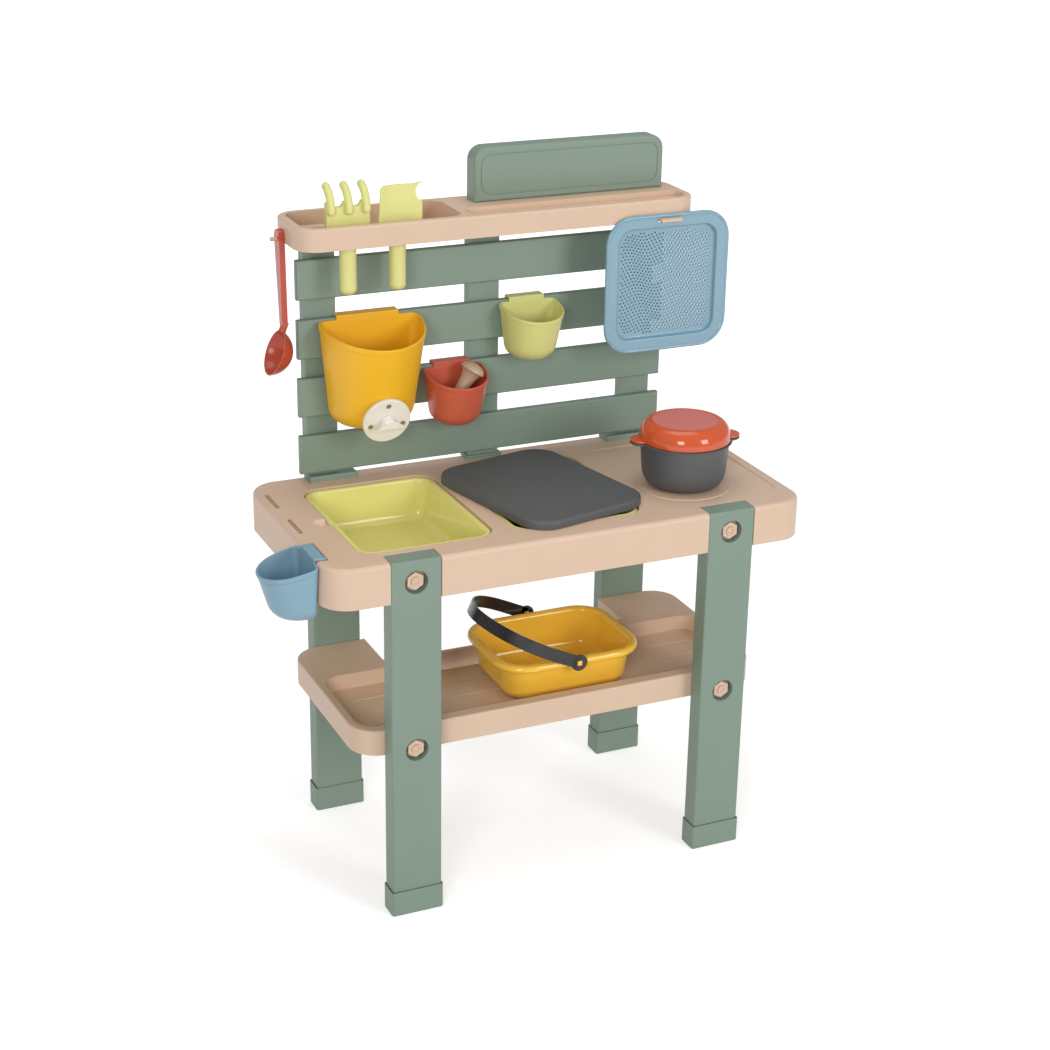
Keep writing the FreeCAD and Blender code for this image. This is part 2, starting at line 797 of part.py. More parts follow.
def make_tray():
    """Double-walled tray: a deep pocket on the left, a shallow trough on the right."""
    half = tray_length / 2
    outer = slab(-half, half, tray_front_y, tray_back_y, tray_corner_radius,
                 tray_bottom_z, tray_top_z)
    outer = round_level_edges(outer, tray_top_z, tray_edge_radius)
    under = slab(-half + tray_wall, half - tray_wall, tray_front_y + tray_wall,
                 tray_back_y - tray_wall, tray_corner_radius - tray_wall,
                 tray_bottom_z - overrun, tray_top_z - tray_wall)
    shell = outer.cut(under)
    pocket_right = tray_divider_x - tray_divider_width / 2
    pocket = (-half + tray_rim, pocket_right, tray_front_y + tray_rim, tray_back_y - tray_rim)
    pocket_body = slab(pocket[0] - tray_wall, pocket[1] + tray_wall, pocket[2] - tray_wall,
                       pocket[3] + tray_wall, tray_pocket_radius + tray_wall,
                       tray_bottom_z, tray_top_z - tray_wall / 2)
    trough_left = tray_divider_x + tray_divider_width / 2
    trough = (trough_left, half - tray_rim, tray_front_y + tray_rim,
              tray_front_y + tray_rim + tray_trough_width)
    trough_floor = tray_top_z - tray_trough_depth
    trough_radius = tray_trough_width / 2 - tray_wall
    trough_body = slab(trough[0] - tray_wall, trough[1] + tray_wall, trough[2] - tray_wall,
                       trough[3] + tray_wall, trough_radius + tray_wall,
                       trough_floor - tray_wall, tray_top_z - tray_wall / 2)
    middle_y = half_depth - post_thickness / 2
    socket_outer = post_spigot_width / 2 + tray_wall
    socket_reach = post_spigot_thickness / 2 + tray_wall
    sockets = []
    for x in (-post_x, 0, post_x):
        top = tray_bottom_z + tray_socket_height if x < 0 else tray_top_z - tray_wall / 2
        sockets.append(box(x - socket_outer, x + socket_outer, middle_y - socket_reach,
                           middle_y + socket_reach, tray_bottom_z, top))
    peg_start = Vector(-half + tray_wall / 2, ladle_peg_y, ladle_peg_z)
    peg_end = Vector(-half - ladle_peg_length, ladle_peg_y, ladle_peg_z)
    peg = rod(ladle_peg_radius, peg_start, peg_end)
    tab_top = tray_bottom_z + sieve_tab_rise + sieve_tab_thickness
    tab_x = sieve_centre_x()
    tab = slab(tab_x - sieve_tab_width / 2, tab_x + sieve_tab_width / 2,
               tray_front_y - sieve_tab_length, tray_front_y + tray_wall + tab_corner(),
               tab_corner(), tab_top - sieve_tab_thickness, tab_top)
    shape = shell.cut(slab(pocket[0], pocket[1], pocket[2], pocket[3], tray_pocket_radius,
                           tray_floor_z, tray_top_z + overrun))
    shape = join([shape, pocket_body, trough_body, peg, tab] + sockets)
    keep_sockets = join(sockets[:1])
    pocket_space = slab(pocket[0], pocket[1], pocket[2], pocket[3], tray_pocket_radius,
                        tray_floor_z, tray_top_z + overrun).cut(keep_sockets)
    shape = shape.cut(pocket_space)
    shape = shape.cut(slab(trough[0], trough[1], trough[2], trough[3], trough_radius,
                           trough_floor, tray_top_z + overrun))
    for x in (-post_x, 0, post_x):
        half_x = post_spigot_width / 2 + slip_gap
        half_y = post_spigot_thickness / 2 + slip_gap
        shape = shape.cut(box(x - half_x, x + half_x, middle_y - half_y, middle_y + half_y,
                              tray_bottom_z - overrun,
                              tray_bottom_z + post_top_spigot + slip_gap))
    for x in (rake_x, shovel_x):
        shape = shape.cut(centred_slab(x, tool_y, tool_hole_length, tool_hole_depth,
                                       tool_hole_radius, tray_bottom_z - overrun,
                                       tray_floor_z + overrun))
    for share in sign_peg_shares:
        x = sign_left_x + share * sign_length
        y = sign_front_y + sign_thickness / 2
        half_x = sign_peg_length / 2 + slip_gap
        half_y = sign_peg_width / 2 + slip_gap
        shape = shape.cut(box(x - half_x, x + half_x, y - half_y, y + half_y,
                              tray_top_z - 2 * tray_wall, tray_top_z + overrun))
    return shape


def tab_corner():
    """Corner radius of the flat tab that carries the sieve."""
    return sieve_tab_thickness / 2


def sieve_centre_x():
    """The sieve and its tab share this place along the tray."""
    return tray_length / 2 - sieve_size_x / 4


def make_sign():
    """Sign board with round upper corners, a border groove and two pegs."""
    top = tray_top_z + sign_height
    plan = slab(sign_left_x, sign_left_x + sign_length, 0, sign_height + sign_corner_radius,
                sign_corner_radius, 0, sign_thickness)
    plan = plan.cut(box(sign_left_x - overrun, sign_left_x + sign_length + overrun,
                        -overrun, sign_corner_radius, -overrun, sign_thickness + overrun))
    board = round_level_edges(plan, 0, sign_edge_radius)
    board = round_level_edges(board, sign_thickness, sign_edge_radius)
    inner = slab(sign_left_x + sign_wall, sign_left_x + sign_length - sign_wall,
                 -sign_height, sign_height + sign_corner_radius - sign_wall,
                 sign_corner_radius - sign_wall, sign_wall, sign_thickness - sign_wall)
    board = board.cut(inner)
    inset = sign_groove_inset
    ring_outer = slab(sign_left_x + inset, sign_left_x + sign_length - inset,
                      sign_corner_radius + inset, sign_height + sign_corner_radius - inset,
                      sign_corner_radius - inset / 2, sign_thickness - sign_groove_depth,
                      sign_thickness + overrun)
    inset = sign_groove_inset + sign_groove_width
    ring_inner = slab(sign_left_x + inset, sign_left_x + sign_length - inset,
                      sign_corner_radius + inset, sign_height + sign_corner_radius - inset,
                      sign_corner_radius - inset / 2, -overrun, sign_thickness + 2 * overrun)
    board = board.cut(ring_outer.cut(ring_inner))
    board.rotate(Vector(0, 0, 0), Vector(1, 0, 0), 90)
    board.translate(Vector(0, sign_front_y + sign_thickness, tray_top_z - sign_corner_radius))
    pegs = []
    y = sign_front_y + sign_thickness / 2
    for share in sign_peg_shares:
        x = sign_left_x + share * sign_length
        pegs.append(box(x - sign_peg_length / 2, x + sign_peg_length / 2,
                        y - sign_peg_width / 2, y + sign_peg_width / 2,
                        tray_top_z - tray_wall, tray_top_z + sign_peg_depth))
        pegs.append(box(x - sign_wall / 2, x + sign_wall / 2, sign_front_y + sign_wall / 2,
                        sign_front_y + sign_thickness - sign_wall / 2,
                        tray_top_z, tray_top_z + sign_peg_depth))
    return join([board] + pegs)


# Cups and bucket

def d_wire(width, depth, corner, z):
    """Outline with a flat back on Y = 0, straight sides and a half-oval front."""
    half = width / 2
    side = max(corner + cup_side_least, depth - half)
    right = Vector(half, -side, z)
    left = Vector(-half, -side, z)
    back_right = arc(Vector(half - corner, -corner, z), corner, 0, 90)
    back_left = arc(Vector(-half + corner, -corner, z), corner, 90, 180)
    oval = Part.Ellipse(right, Vector(0, -depth, z), Vector(0, -side, z))
    edges = [
        back_right,
        Part.makeLine(back_right.Vertexes[-1].Point, back_left.Vertexes[0].Point),
        back_left,
        Part.makeLine(back_left.Vertexes[-1].Point, left),
        Part.Arc(oval, 0, math.pi).toShape(),
        Part.makeLine(right, back_right.Vertexes[0].Point),
    ]
    return Part.Wire(Part.__sortEdges__(edges))


def d_section(size, inset, pull, z):
    """Outline at one height, drawn in by an inset; a pull draws only sides and front in."""
    share = z / size["height"]
    width = size["base_width"] + share * (size["width"] - size["base_width"])
    depth = size["base_depth"] + share * (size["depth"] - size["base_depth"])
    wire = d_wire(width - 2 * (inset + pull), depth - 2 * inset - pull, size["corner"], z)
    wire.translate(Vector(0, -inset, 0))
    return wire


def d_body(size, inset, top):
    """Tapered body with a rounded foot, drawn in by an inset."""
    radius = size["base_radius"] - inset
    sections = []
    for step in range(foot_steps + 1):
        angle = math.pi / 2 * step / foot_steps
        pull = radius * (1 - math.sin(angle))
        rise = radius * (1 - math.cos(angle))
        sections.append(d_section(size, inset, pull, max(inset, 0) + rise))
    sections.append(d_section(size, inset, 0, top))
    return Part.makeLoft(sections, True, True)


def above_rim(size, drop):
    """Everything above the sloping rim, lowered by a drop."""
    reach = 2 * size["depth"]
    z_back = size["height"] - drop
    z_front = z_back - size["slope"] * reach
    points = [Vector(0, reach, z_back + size["slope"] * reach), Vector(0, -reach, z_front),
              Vector(0, -reach, 2 * reach + z_back), Vector(0, reach, 2 * reach + z_back)]
    points.append(points[0])
    wedge = Part.Face(Part.makePolygon(points)).extrude(Vector(2 * size["width"], 0, 0))
    wedge.translate(Vector(-size["width"], 0, 0))
    return wedge


def make_cup(size, bosses):
    """Hanging cup in its own frame: back on Y = 0, base on Z = 0, front to -Y."""
    tall = size["height"] * rim_reach_share
    outer = d_body(size, 0, tall)
    inner = d_body(size, size["wall"], tall + overrun)
    band = d_body(size, -cup_band_step, tall).common(above_rim(size, size["band"]))
    band = band.common(box(-size["width"], size["width"], -2 * size["depth"], 0, 0, 2 * tall))
    body = join([outer, band] + bosses).cut(above_rim(size, 0)).cut(inner)
    half = size["hook_width"] / 2
    seat = size["height"] + hook_rim_drop
    top = seat + hook_thickness
    hook = join([
        box(-half, half, -size["wall"], 0, size["height"] - size["band"], top),
        box(-half, half, -size["wall"], hook_gap + hook_thickness, seat, top),
        box(-half, half, hook_gap, hook_gap + hook_thickness, seat - hook_drop, top),
    ])
    corner = edges_at(hook, lambda b: abs(b.ZMin - top) < slip_gap and b.XLength > half)
    hook = hook.makeFillet(hook_thickness / 2, corner)
    return join([body, hook])


cup_size = {
    "width": cup_width, "depth": cup_depth, "height": cup_height,
    "base_width": cup_base_width, "base_depth": cup_base_depth,
    "base_radius": cup_base_radius, "corner": cup_back_corner, "wall": cup_wall,
    "slope": cup_rim_slope, "band": cup_band_height, "hook_width": cup_hook_width,
}
bucket_size = {
    "width": bucket_width, "depth": bucket_depth, "height": bucket_height,
    "base_width": bucket_base_width, "base_depth": bucket_base_depth,
    "base_radius": bucket_base_radius, "corner": bucket_back_corner, "wall": bucket_wall,
    "slope": bucket_rim_slope, "band": bucket_band_height, "hook_width": bucket_hook_width,
}


def slat_top(index):
    """Height of a slat's upper edge."""
    return lowest_slat_z + index * slat_pitch + slat_height


def hang_on_slat(x, index, size):
    """Where a cup's own frame goes when it hangs on a slat."""
    seat = slat_top(index) + rest_gap
    return Vector(x, slat_front_y - rest_gap, seat - size["height"] - hook_rim_drop)


def placed(shape, place):
    """Copy of a shape moved to a place."""
    moved = shape.copy()
    moved.translate(place)
    return moved


def tap_frame():
    """Placement of the tap in the bucket's frame: its Z points out of the sloping front."""
    lean = math.atan2(bucket_depth - bucket_base_depth, bucket_height)
    wall_y = -(bucket_base_depth
               + (bucket_depth - bucket_base_depth) * tap_height / bucket_height)
    centre = Vector(0, wall_y - tap_boss_rise, tap_height)
    turn = Rotation(Vector(1, 0, 0), 90 + math.degrees(lean))
    return Placement(centre, turn)


def on_bucket_wall(shape):
    """Copy of a shape moved from the tap's own frame into the bucket's own frame."""
    moved = shape.copy()
    moved.Placement = tap_frame().multiply(moved.Placement)
    return moved


def at_tap(shape):
    """Copy of a shape moved from the tap's own frame to where the bucket hangs."""
    return placed(on_bucket_wall(shape), hang_on_slat(bucket_x, slats_below_bucket_count, bucket_size))


def make_bucket():
    """Bucket with a flat boss for the tap on its sloping front."""
    boss = rod(tap_plate_radius - tap_plate_edge, Vector(0, 0, -tap_boss_depth),
               Vector(0, 0, 0))
    cup = make_cup(bucket_size, [on_bucket_wall(boss)])
    bucket = placed(cup, hang_on_slat(bucket_x, slats_below_bucket_count, bucket_size))
    outlet = at_tap(rod(tap_stem_radius + hinge_gap, Vector(0, 0, -2 * tap_boss_depth),
                        Vector(0, 0, overrun)))
    bucket = bucket.cut(outlet)
    for x, y in tap_screw_places():
        bucket = bucket.cut(at_tap(rod(tap_screw_shank + slip_gap,
                                       Vector(x, y, -tap_plate_thickness),
                                       Vector(x, y, overrun))))
    return bucket


def tap_screw_places():
    """Centres of the three screws on the tap's plate."""
    places = []
    for degrees in tap_screw_angles:
        angle = math.radians(degrees)
        places.append((tap_screw_circle * math.cos(angle), tap_screw_circle * math.sin(angle)))
    return places


def make_tap_plate():
    """Round plate that the knob turns in."""
    plate = rod(tap_plate_radius, Vector(0, 0, 0), Vector(0, 0, tap_plate_thickness))
    plate = round_level_edges(plate, tap_plate_thickness, tap_plate_edge)
    plate = plate.cut(rod(tap_stem_radius + hinge_gap, Vector(0, 0, -overrun),
                          Vector(0, 0, tap_plate_thickness + overrun)))
    for x, y in tap_screw_places():
        plate = plate.cut(rod(tap_screw_shank + slip_gap, Vector(x, y, -overrun),
                              Vector(x, y, tap_plate_thickness + overrun)))
        plate = plate.cut(rod(tap_screw_radius + slip_gap,
                              Vector(x, y, tap_plate_thickness - tap_screw_height),
                              Vector(x, y, tap_plate_thickness + overrun)))
    return at_tap(plate)


def make_tap_knob():
    """Knob with a stem in the plate, a round barrel and a flat wing."""
    front = tap_plate_thickness + rest_gap
    stem = rod(tap_stem_radius, Vector(0, 0, tap_plate_thickness - tap_stem_length),
               Vector(0, 0, front))
    barrel = rod(tap_barrel_radius, Vector(0, 0, front), Vector(0, 0, front + tap_barrel_length))
    barrel = round_level_edges(barrel, front + tap_barrel_length, tap_plate_edge)
    half = tap_wing_length / 2
    wing = slab(-half, half, -tap_wing_thickness / 2, tap_wing_thickness / 2,
                tap_wing_thickness / 2 - slip_gap, front + tap_barrel_length - tap_wing_depth,
                front + tap_barrel_length)
    return at_tap(join([stem, barrel, wing]))


def make_tap_screws():
    """Three small screws in the plate."""
    screws = []
    for x, y in tap_screw_places():
        head = rod(tap_screw_radius, Vector(x, y, tap_plate_thickness - tap_screw_height),
                   Vector(x, y, tap_plate_thickness))
        shank = rod(tap_screw_shank, Vector(x, y, -tap_plate_thickness + slip_gap),
                    Vector(x, y, tap_plate_thickness - tap_screw_height))
        screws.append(at_tap(join([head, shank])))
    return Part.makeCompound(screws)


def make_pestle():
    """Mushroom-headed pestle, leaning in the red cup."""
    neck = pestle_length - pestle_head_height
    foot_in, foot_up, stem_up, rim_up, crown_in, crown_up, top_in, top_up = pestle_outline_shares
    points = [
        (0, 0),
        (pestle_base_radius * foot_in, 0),
        (pestle_base_radius, pestle_base_radius * foot_up),
        (pestle_base_radius, neck * stem_up),
        (pestle_neck_radius, neck),
        (pestle_head_radius, neck),
        (pestle_head_radius, neck + pestle_head_height * rim_up),
        (pestle_head_radius * crown_in, neck + pestle_head_height * crown_up),
        (pestle_head_radius * top_in, neck + pestle_head_height * top_up),
        (0, pestle_length),
    ]
    pestle = turned(points, Vector(0, 0, 0))
    pestle.rotate(Vector(0, 0, 0), Vector(0, 1, 0), pestle_lean)
    place = hang_on_slat(red_cup_x, slats_below_red_cup_count, cup_size)
    pestle.translate(Vector(place.x + pestle_foot_x_offset, place.y - pestle_forward,
                            place.z + cup_wall + pestle_lift_above_floor))
    return pestle


def make_cups():
    """Three like cups, the bucket and its tap, and the pestle."""
    cup = make_cup(cup_size, [])
    save("lime_cup", placed(cup, hang_on_slat(lime_cup_x, slats_below_lime_cup_count, cup_size)))
    save("red_cup", placed(cup, hang_on_slat(red_cup_x, slats_below_red_cup_count, cup_size)))
    blue = cup.copy()
    blue.rotate(Vector(0, 0, 0), Vector(0, 0, 1), -90)
    seat = counter_height + rest_gap
    blue.translate(Vector(-counter_length / 2 - rest_gap, front_cup_slot_y,
                          seat - cup_height - hook_rim_drop))
    save("blue_cup", blue)
    save("pestle", make_pestle())
    save("bucket", make_bucket())
    save("tap_plate", make_tap_plate())
    save("tap_knob", make_tap_knob())
    save("tap_screws", make_tap_screws())


# Basins and board

def make_basin(x):
    """Basin that hangs by its flange in the counter's rebate."""
    seat = counter_height - basin_rebate_depth
    top = seat + basin_flange_thickness
    floor = counter_height - basin_depth
    length = basin_opening_length - 2 * basin_edge_gap
    depth = basin_opening_depth - 2 * basin_edge_gap
    body_length = basin_opening_length - 2 * basin_ledge_width - 2 * basin_edge_gap
    body_depth = basin_opening_depth - 2 * basin_ledge_width - 2 * basin_edge_gap
    radius = basin_corner_radius - basin_ledge_width
    flange = centred_slab(x, basin_centre_y, length, depth, basin_corner_radius, seat, top)
    flange = round_level_edges(flange, top, basin_flange_thickness * basin_flange_edge_share)
    outer = tub_loft(x, basin_centre_y, (body_length, body_depth, radius),
                     (body_length - 2 * basin_draft, body_depth - 2 * basin_draft, radius),
                     floor, seat + basin_flange_thickness / 2)
    outer = round_level_edges(outer, floor, basin_floor_radius)
    inset = 2 * basin_wall
    inner = tub_loft(x, basin_centre_y, (body_length - inset, body_depth - inset,
                                         radius - basin_wall),
                     (body_length - 2 * basin_draft - inset,
                      body_depth - 2 * basin_draft - inset, radius - basin_wall),
                     floor + basin_wall, top + overrun)
    inner = round_level_edges(inner, floor + basin_wall, basin_floor_radius - basin_wall)
    return join([flange, outer]).cut(inner)


def make_board():
    """Flat board, hollow below, turned a little on the basin it covers."""
    base = counter_height + rest_gap
    top = base + board_thickness
    board = centred_slab(0, 0, board_length, board_depth, board_corner_radius, base, top)
    board = round_level_edges(board, top, board_edge_radius)
    inset = 2 * board_wall
    board = board.cut(centred_slab(0, 0, board_length - inset, board_depth - inset,
                                   board_corner_radius - board_wall, base - overrun,
                                   top - board_wall))
    board.rotate(Vector(0, 0, 0), Vector(0, 0, 1), board_turn)
    board.translate(Vector(board_x, board_y, 0))
    return board


# Pot and lid

def ears(z0, z1, ring_radius):
    """Two round-ended grips on opposite sides of a ring."""
    reach = ear_span / 2
    bar = centred_slab(0, 0, 2 * reach, ear_width, ear_width / 2 - slip_gap, z0, z1)
    bar = bar.cut(rod(ring_radius - pot_wall, Vector(0, 0, z0 - overrun),
                      Vector(0, 0, z1 + overrun)))
    bar.rotate(Vector(0, 0, 0), Vector(0, 0, 1), ear_turn)
    bar.translate(Vector(pot_x, pot_y, 0))
    return bar


def arc_profile(corner_radius, height, outer_radius, steps):
    """Quarter-ellipse from a base radius out to a belly, as (radius, height) points."""
    points = []
    for step in range(steps + 1):
        angle = math.pi / 2 * step / steps
        radius = corner_radius + (outer_radius - corner_radius) * math.sin(angle)
        points.append((radius, height * (1 - math.cos(angle))))
    return points


def make_pot():
    """Round pot with a curved base, a rim and two ears."""
    base = counter_height + rest_gap
    curve = arc_profile(pot_base_radius, pot_curve_height, pot_belly_radius, 8)
    outer = [(0, 0)] + curve + [(pot_rim_radius, pot_height), (0, pot_height)]
    inner = [(0, pot_wall)]
    for radius, height in curve:
        inner.append((radius - pot_wall, height + pot_wall))
    inner += [(pot_rim_radius - pot_wall, pot_height + overrun), (0, pot_height + overrun)]
    centre = Vector(pot_x, pot_y, base)
    rim_z = base + pot_height - pot_rim_height
    rim = rod(pot_rim_radius + pot_rim_width, Vector(pot_x, pot_y, rim_z),
              Vector(pot_x, pot_y, base + pot_height))
    grips = ears(base + pot_height - ear_thickness, base + pot_height, pot_rim_radius)
    return join([turned(outer, centre), rim, grips]).cut(turned(inner, centre))


def make_lid():
    """Domed lid with a flat top, a ring and two ears over the pot's."""
    base = counter_height + rest_gap + pot_height + rest_gap
    outer_radius = pot_rim_radius + pot_rim_width
    ring = rod(outer_radius, Vector(pot_x, pot_y, base),
               Vector(pot_x, pot_y, base + lid_ring_height))
    rise = lid_height - lid_ring_height
    steps = 8
    dome = [(0, lid_ring_height)]
    skirt_radius = pot_rim_radius - pot_wall - lid_skirt_gap
    hollow_radius = skirt_radius - lid_wall
    hollow = [(0, -lid_skirt_depth - overrun), (hollow_radius, -lid_skirt_depth - overrun)]
    for step in range(steps + 1):
        angle = math.pi / 2 * step / steps
        radius = lid_top_radius + (pot_rim_radius - lid_top_radius) * math.cos(angle)
        height = lid_ring_height + rise * math.sin(angle)
        dome.append((radius, height))
        hollow.append((min(radius - lid_wall, hollow_radius), height - lid_wall))
    dome.append((0, lid_height))
    hollow.append((0, lid_height - lid_wall))
    centre = Vector(pot_x, pot_y, base)
    skirt = rod(skirt_radius, Vector(pot_x, pot_y, base - lid_skirt_depth),
                Vector(pot_x, pot_y, base + lid_ring_height))
    grips = ears(base, base + ear_thickness, pot_rim_radius)
    lid = join([ring, turned(dome, centre), skirt, grips]).cut(turned(hollow, centre))
    top = base + lid_height
    mark = rod(lid_top_radius * lid_mark_share, Vector(pot_x, pot_y, top - lid_top_recess),
               Vector(pot_x, pot_y, top + overrun))
    return lid.cut(mark)


# Basket

def basket_rim_z():
    """Height of the basket's rim as it stands on the shelf."""
    return shelf_floor_z + rest_gap + basket_height


def make_basket():
    """Basket with a rolled rim and a peg on each long side for its handle."""
    base = shelf_floor_z + rest_gap
    top = basket_rim_z()
    length = basket_length - 2 * basket_rim_width
    depth = basket_depth - 2 * basket_rim_width
    radius = basket_corner_radius - basket_rim_width
    outer = tub_loft(basket_x, basket_y, (length, depth, radius),
                     (length - 2 * basket_draft, depth - 2 * basket_draft, radius), base, top)
    outer = round_level_edges(outer, base, basket_floor_radius)
    rim = centred_slab(basket_x, basket_y, basket_length, basket_depth, basket_corner_radius,
                       top - basket_rim_height, top)
    rim = round_level_edges(rim, top, basket_rim_height * basket_rim_top_share)
    rim = round_level_edges(rim, top - basket_rim_height, basket_rim_height * basket_rim_low_share)
    inset = 2 * basket_wall
    inner = tub_loft(basket_x, basket_y, (length - inset, depth - inset, radius - basket_wall),
                     (length - 2 * basket_draft - inset, depth - 2 * basket_draft - inset,
                      radius - basket_wall), base + basket_wall, top + overrun)
    inner = round_level_edges(inner, base + basket_wall, basket_floor_radius - basket_wall)
    pivot_z = top - handle_pivot_drop
    pegs = []
    for sign in (-1, 1):
        face = basket_y + sign * (basket_depth / 2 - basket_wall)
        outside = basket_y + sign * (basket_depth / 2 + 2 * rest_gap + handle_thickness)
        end = outside + sign * handle_peg_head_thickness
        pegs.append(rod(handle_peg_radius, Vector(basket_x, face, pivot_z),
                        Vector(basket_x, outside, pivot_z)))
        pegs.append(rod(handle_peg_head, Vector(basket_x, outside, pivot_z),
                        Vector(basket_x, end, pivot_z)))
    return join([outer, rim] + pegs).cut(inner)


def make_handle():
    """Strap handle: straight legs and a half-round top, leaning to the left."""
    pivot_z = basket_rim_z() - handle_pivot_drop
    inner_half = basket_depth / 2 + rest_gap
    outer_half = inner_half + handle_thickness
    straight = handle_reach - outer_half
    strap = box(-handle_width / 2, handle_width / 2, -outer_half, outer_half, 0, straight)
    crown = rod(outer_half, Vector(-handle_width / 2, 0, straight),
                Vector(handle_width / 2, 0, straight))
    eye_reach = Vector(0, outer_half, 0)
    eyes = rod(handle_eye_radius, Vector(0, 0, 0).sub(eye_reach), eye_reach)
    body = join([strap, crown, eyes])
    body = body.cut(box(-handle_reach, handle_reach, -inner_half, inner_half,
                        -handle_reach, straight))
    body = body.cut(rod(inner_half, Vector(-handle_reach, 0, straight),
                        Vector(handle_reach, 0, straight)))
    hole_reach = Vector(0, outer_half + overrun, 0)
    body = body.cut(rod(handle_peg_radius + hinge_gap, Vector(0, 0, 0).sub(hole_reach),
                        hole_reach))
    body.rotate(Vector(0, 0, 0), Vector(0, 1, 0), handle_rest_angle - 90)
    body.translate(Vector(basket_x, basket_y, pivot_z))
    return body


# Sieve

def upright_slab(x, z, size_x, size_z, radius, y0, y1):
    """Round-cornered plate that stands in an XZ plane between two Y values."""
    plate = centred_slab(x, z, size_x, size_z, radius, 0, y1 - y0)
    plate.rotate(Vector(0, 0, 0), Vector(1, 0, 0), 90)
    plate.translate(Vector(0, y1, 0))
    return plate


def make_sieve():
    """Square sieve with a flange, a pan set back and a slot over the tray's tab."""
    x = sieve_centre_x()
    tab_top = tray_bottom_z + sieve_tab_rise + sieve_tab_thickness
    slot_top = tab_top + rest_gap
    top = slot_top + sieve_slot_from_top - sieve_slot_height / 2
    z = top - sieve_size_z / 2
    back = tray_front_y - sieve_stand_off + sieve_bead_radius
    front = back - sieve_flange_thickness
    flange = upright_slab(x, z, sieve_size_x, sieve_size_z, sieve_corner_radius, front, back)
    bead = upright_slab(x, z, sieve_size_x, sieve_size_z, sieve_corner_radius,
                        front - sieve_bead_radius, front)
    bead_inner = 4 * sieve_bead_radius
    bead = bead.cut(upright_slab(x, z, sieve_size_x - bead_inner, sieve_size_z - bead_inner,
                                 sieve_corner_radius - bead_inner / 2,
                                 front - overrun, front + overrun))
    pan_x = sieve_size_x - 2 * sieve_flange_width
    pan_z = sieve_size_z - 2 * sieve_flange_width
    pan_back = front + sieve_pan_depth
    pan = upright_slab(x, z, pan_x, pan_z, sieve_pan_radius, front, pan_back)
    inset = 2 * sieve_wall
    hollow = upright_slab(x, z, pan_x - inset, pan_z - inset, sieve_pan_radius - sieve_wall,
                          front - overrun, pan_back - sieve_wall)
    sieve = join([flange, bead, pan]).cut(hollow)
    slot_half = sieve_tab_width / 2 + sieve_slot_margin
    sieve = sieve.cut(box(x - slot_half, x + slot_half, front - 2 * overrun, back + overrun,
                          slot_top - sieve_slot_height, slot_top))
    holes = []
    field_x = (pan_x - inset) * sieve_field_share
    field_z = (pan_z - inset) * sieve_field_share
    last = sieve_hole_rows - 1
    for column in range(sieve_hole_rows):
        for row in range(sieve_hole_rows):
            hole_x = x + field_x * (column / last - grid_middle_share)
            hole_z = z + field_z * (row / last - grid_middle_share)
            holes.append(rod(sieve_hole_radius, Vector(hole_x, pan_back - 2 * sieve_wall, hole_z),
                             Vector(hole_x, pan_back + overrun, hole_z)))
    return sieve.cut(Part.makeCompound(holes))


# Ladle, rake and shovel

def bowl_body(radius, depth):
    """Solid cap of a sphere with its round face at Z = 0, bulging down."""
    sphere_radius = (radius ** 2 + depth ** 2) / (2 * depth)
    half_angle = math.atan2(radius, sphere_radius - depth)
    middle = Vector(sphere_radius * math.sin(half_angle / 2), 0,
                    sphere_radius - depth - sphere_radius * math.cos(half_angle / 2))
    bottom = Vector(0, 0, -depth)
    rim = Vector(radius, 0, 0)
    edges = [Part.Arc(bottom, middle, rim).toShape(), Part.makeLine(rim, Vector(0, 0, 0)),
             Part.makeLine(Vector(0, 0, 0), bottom)]
    return Part.Face(Part.Wire(edges)).revolve(Vector(0, 0, 0), Vector(0, 0, 1), 360)


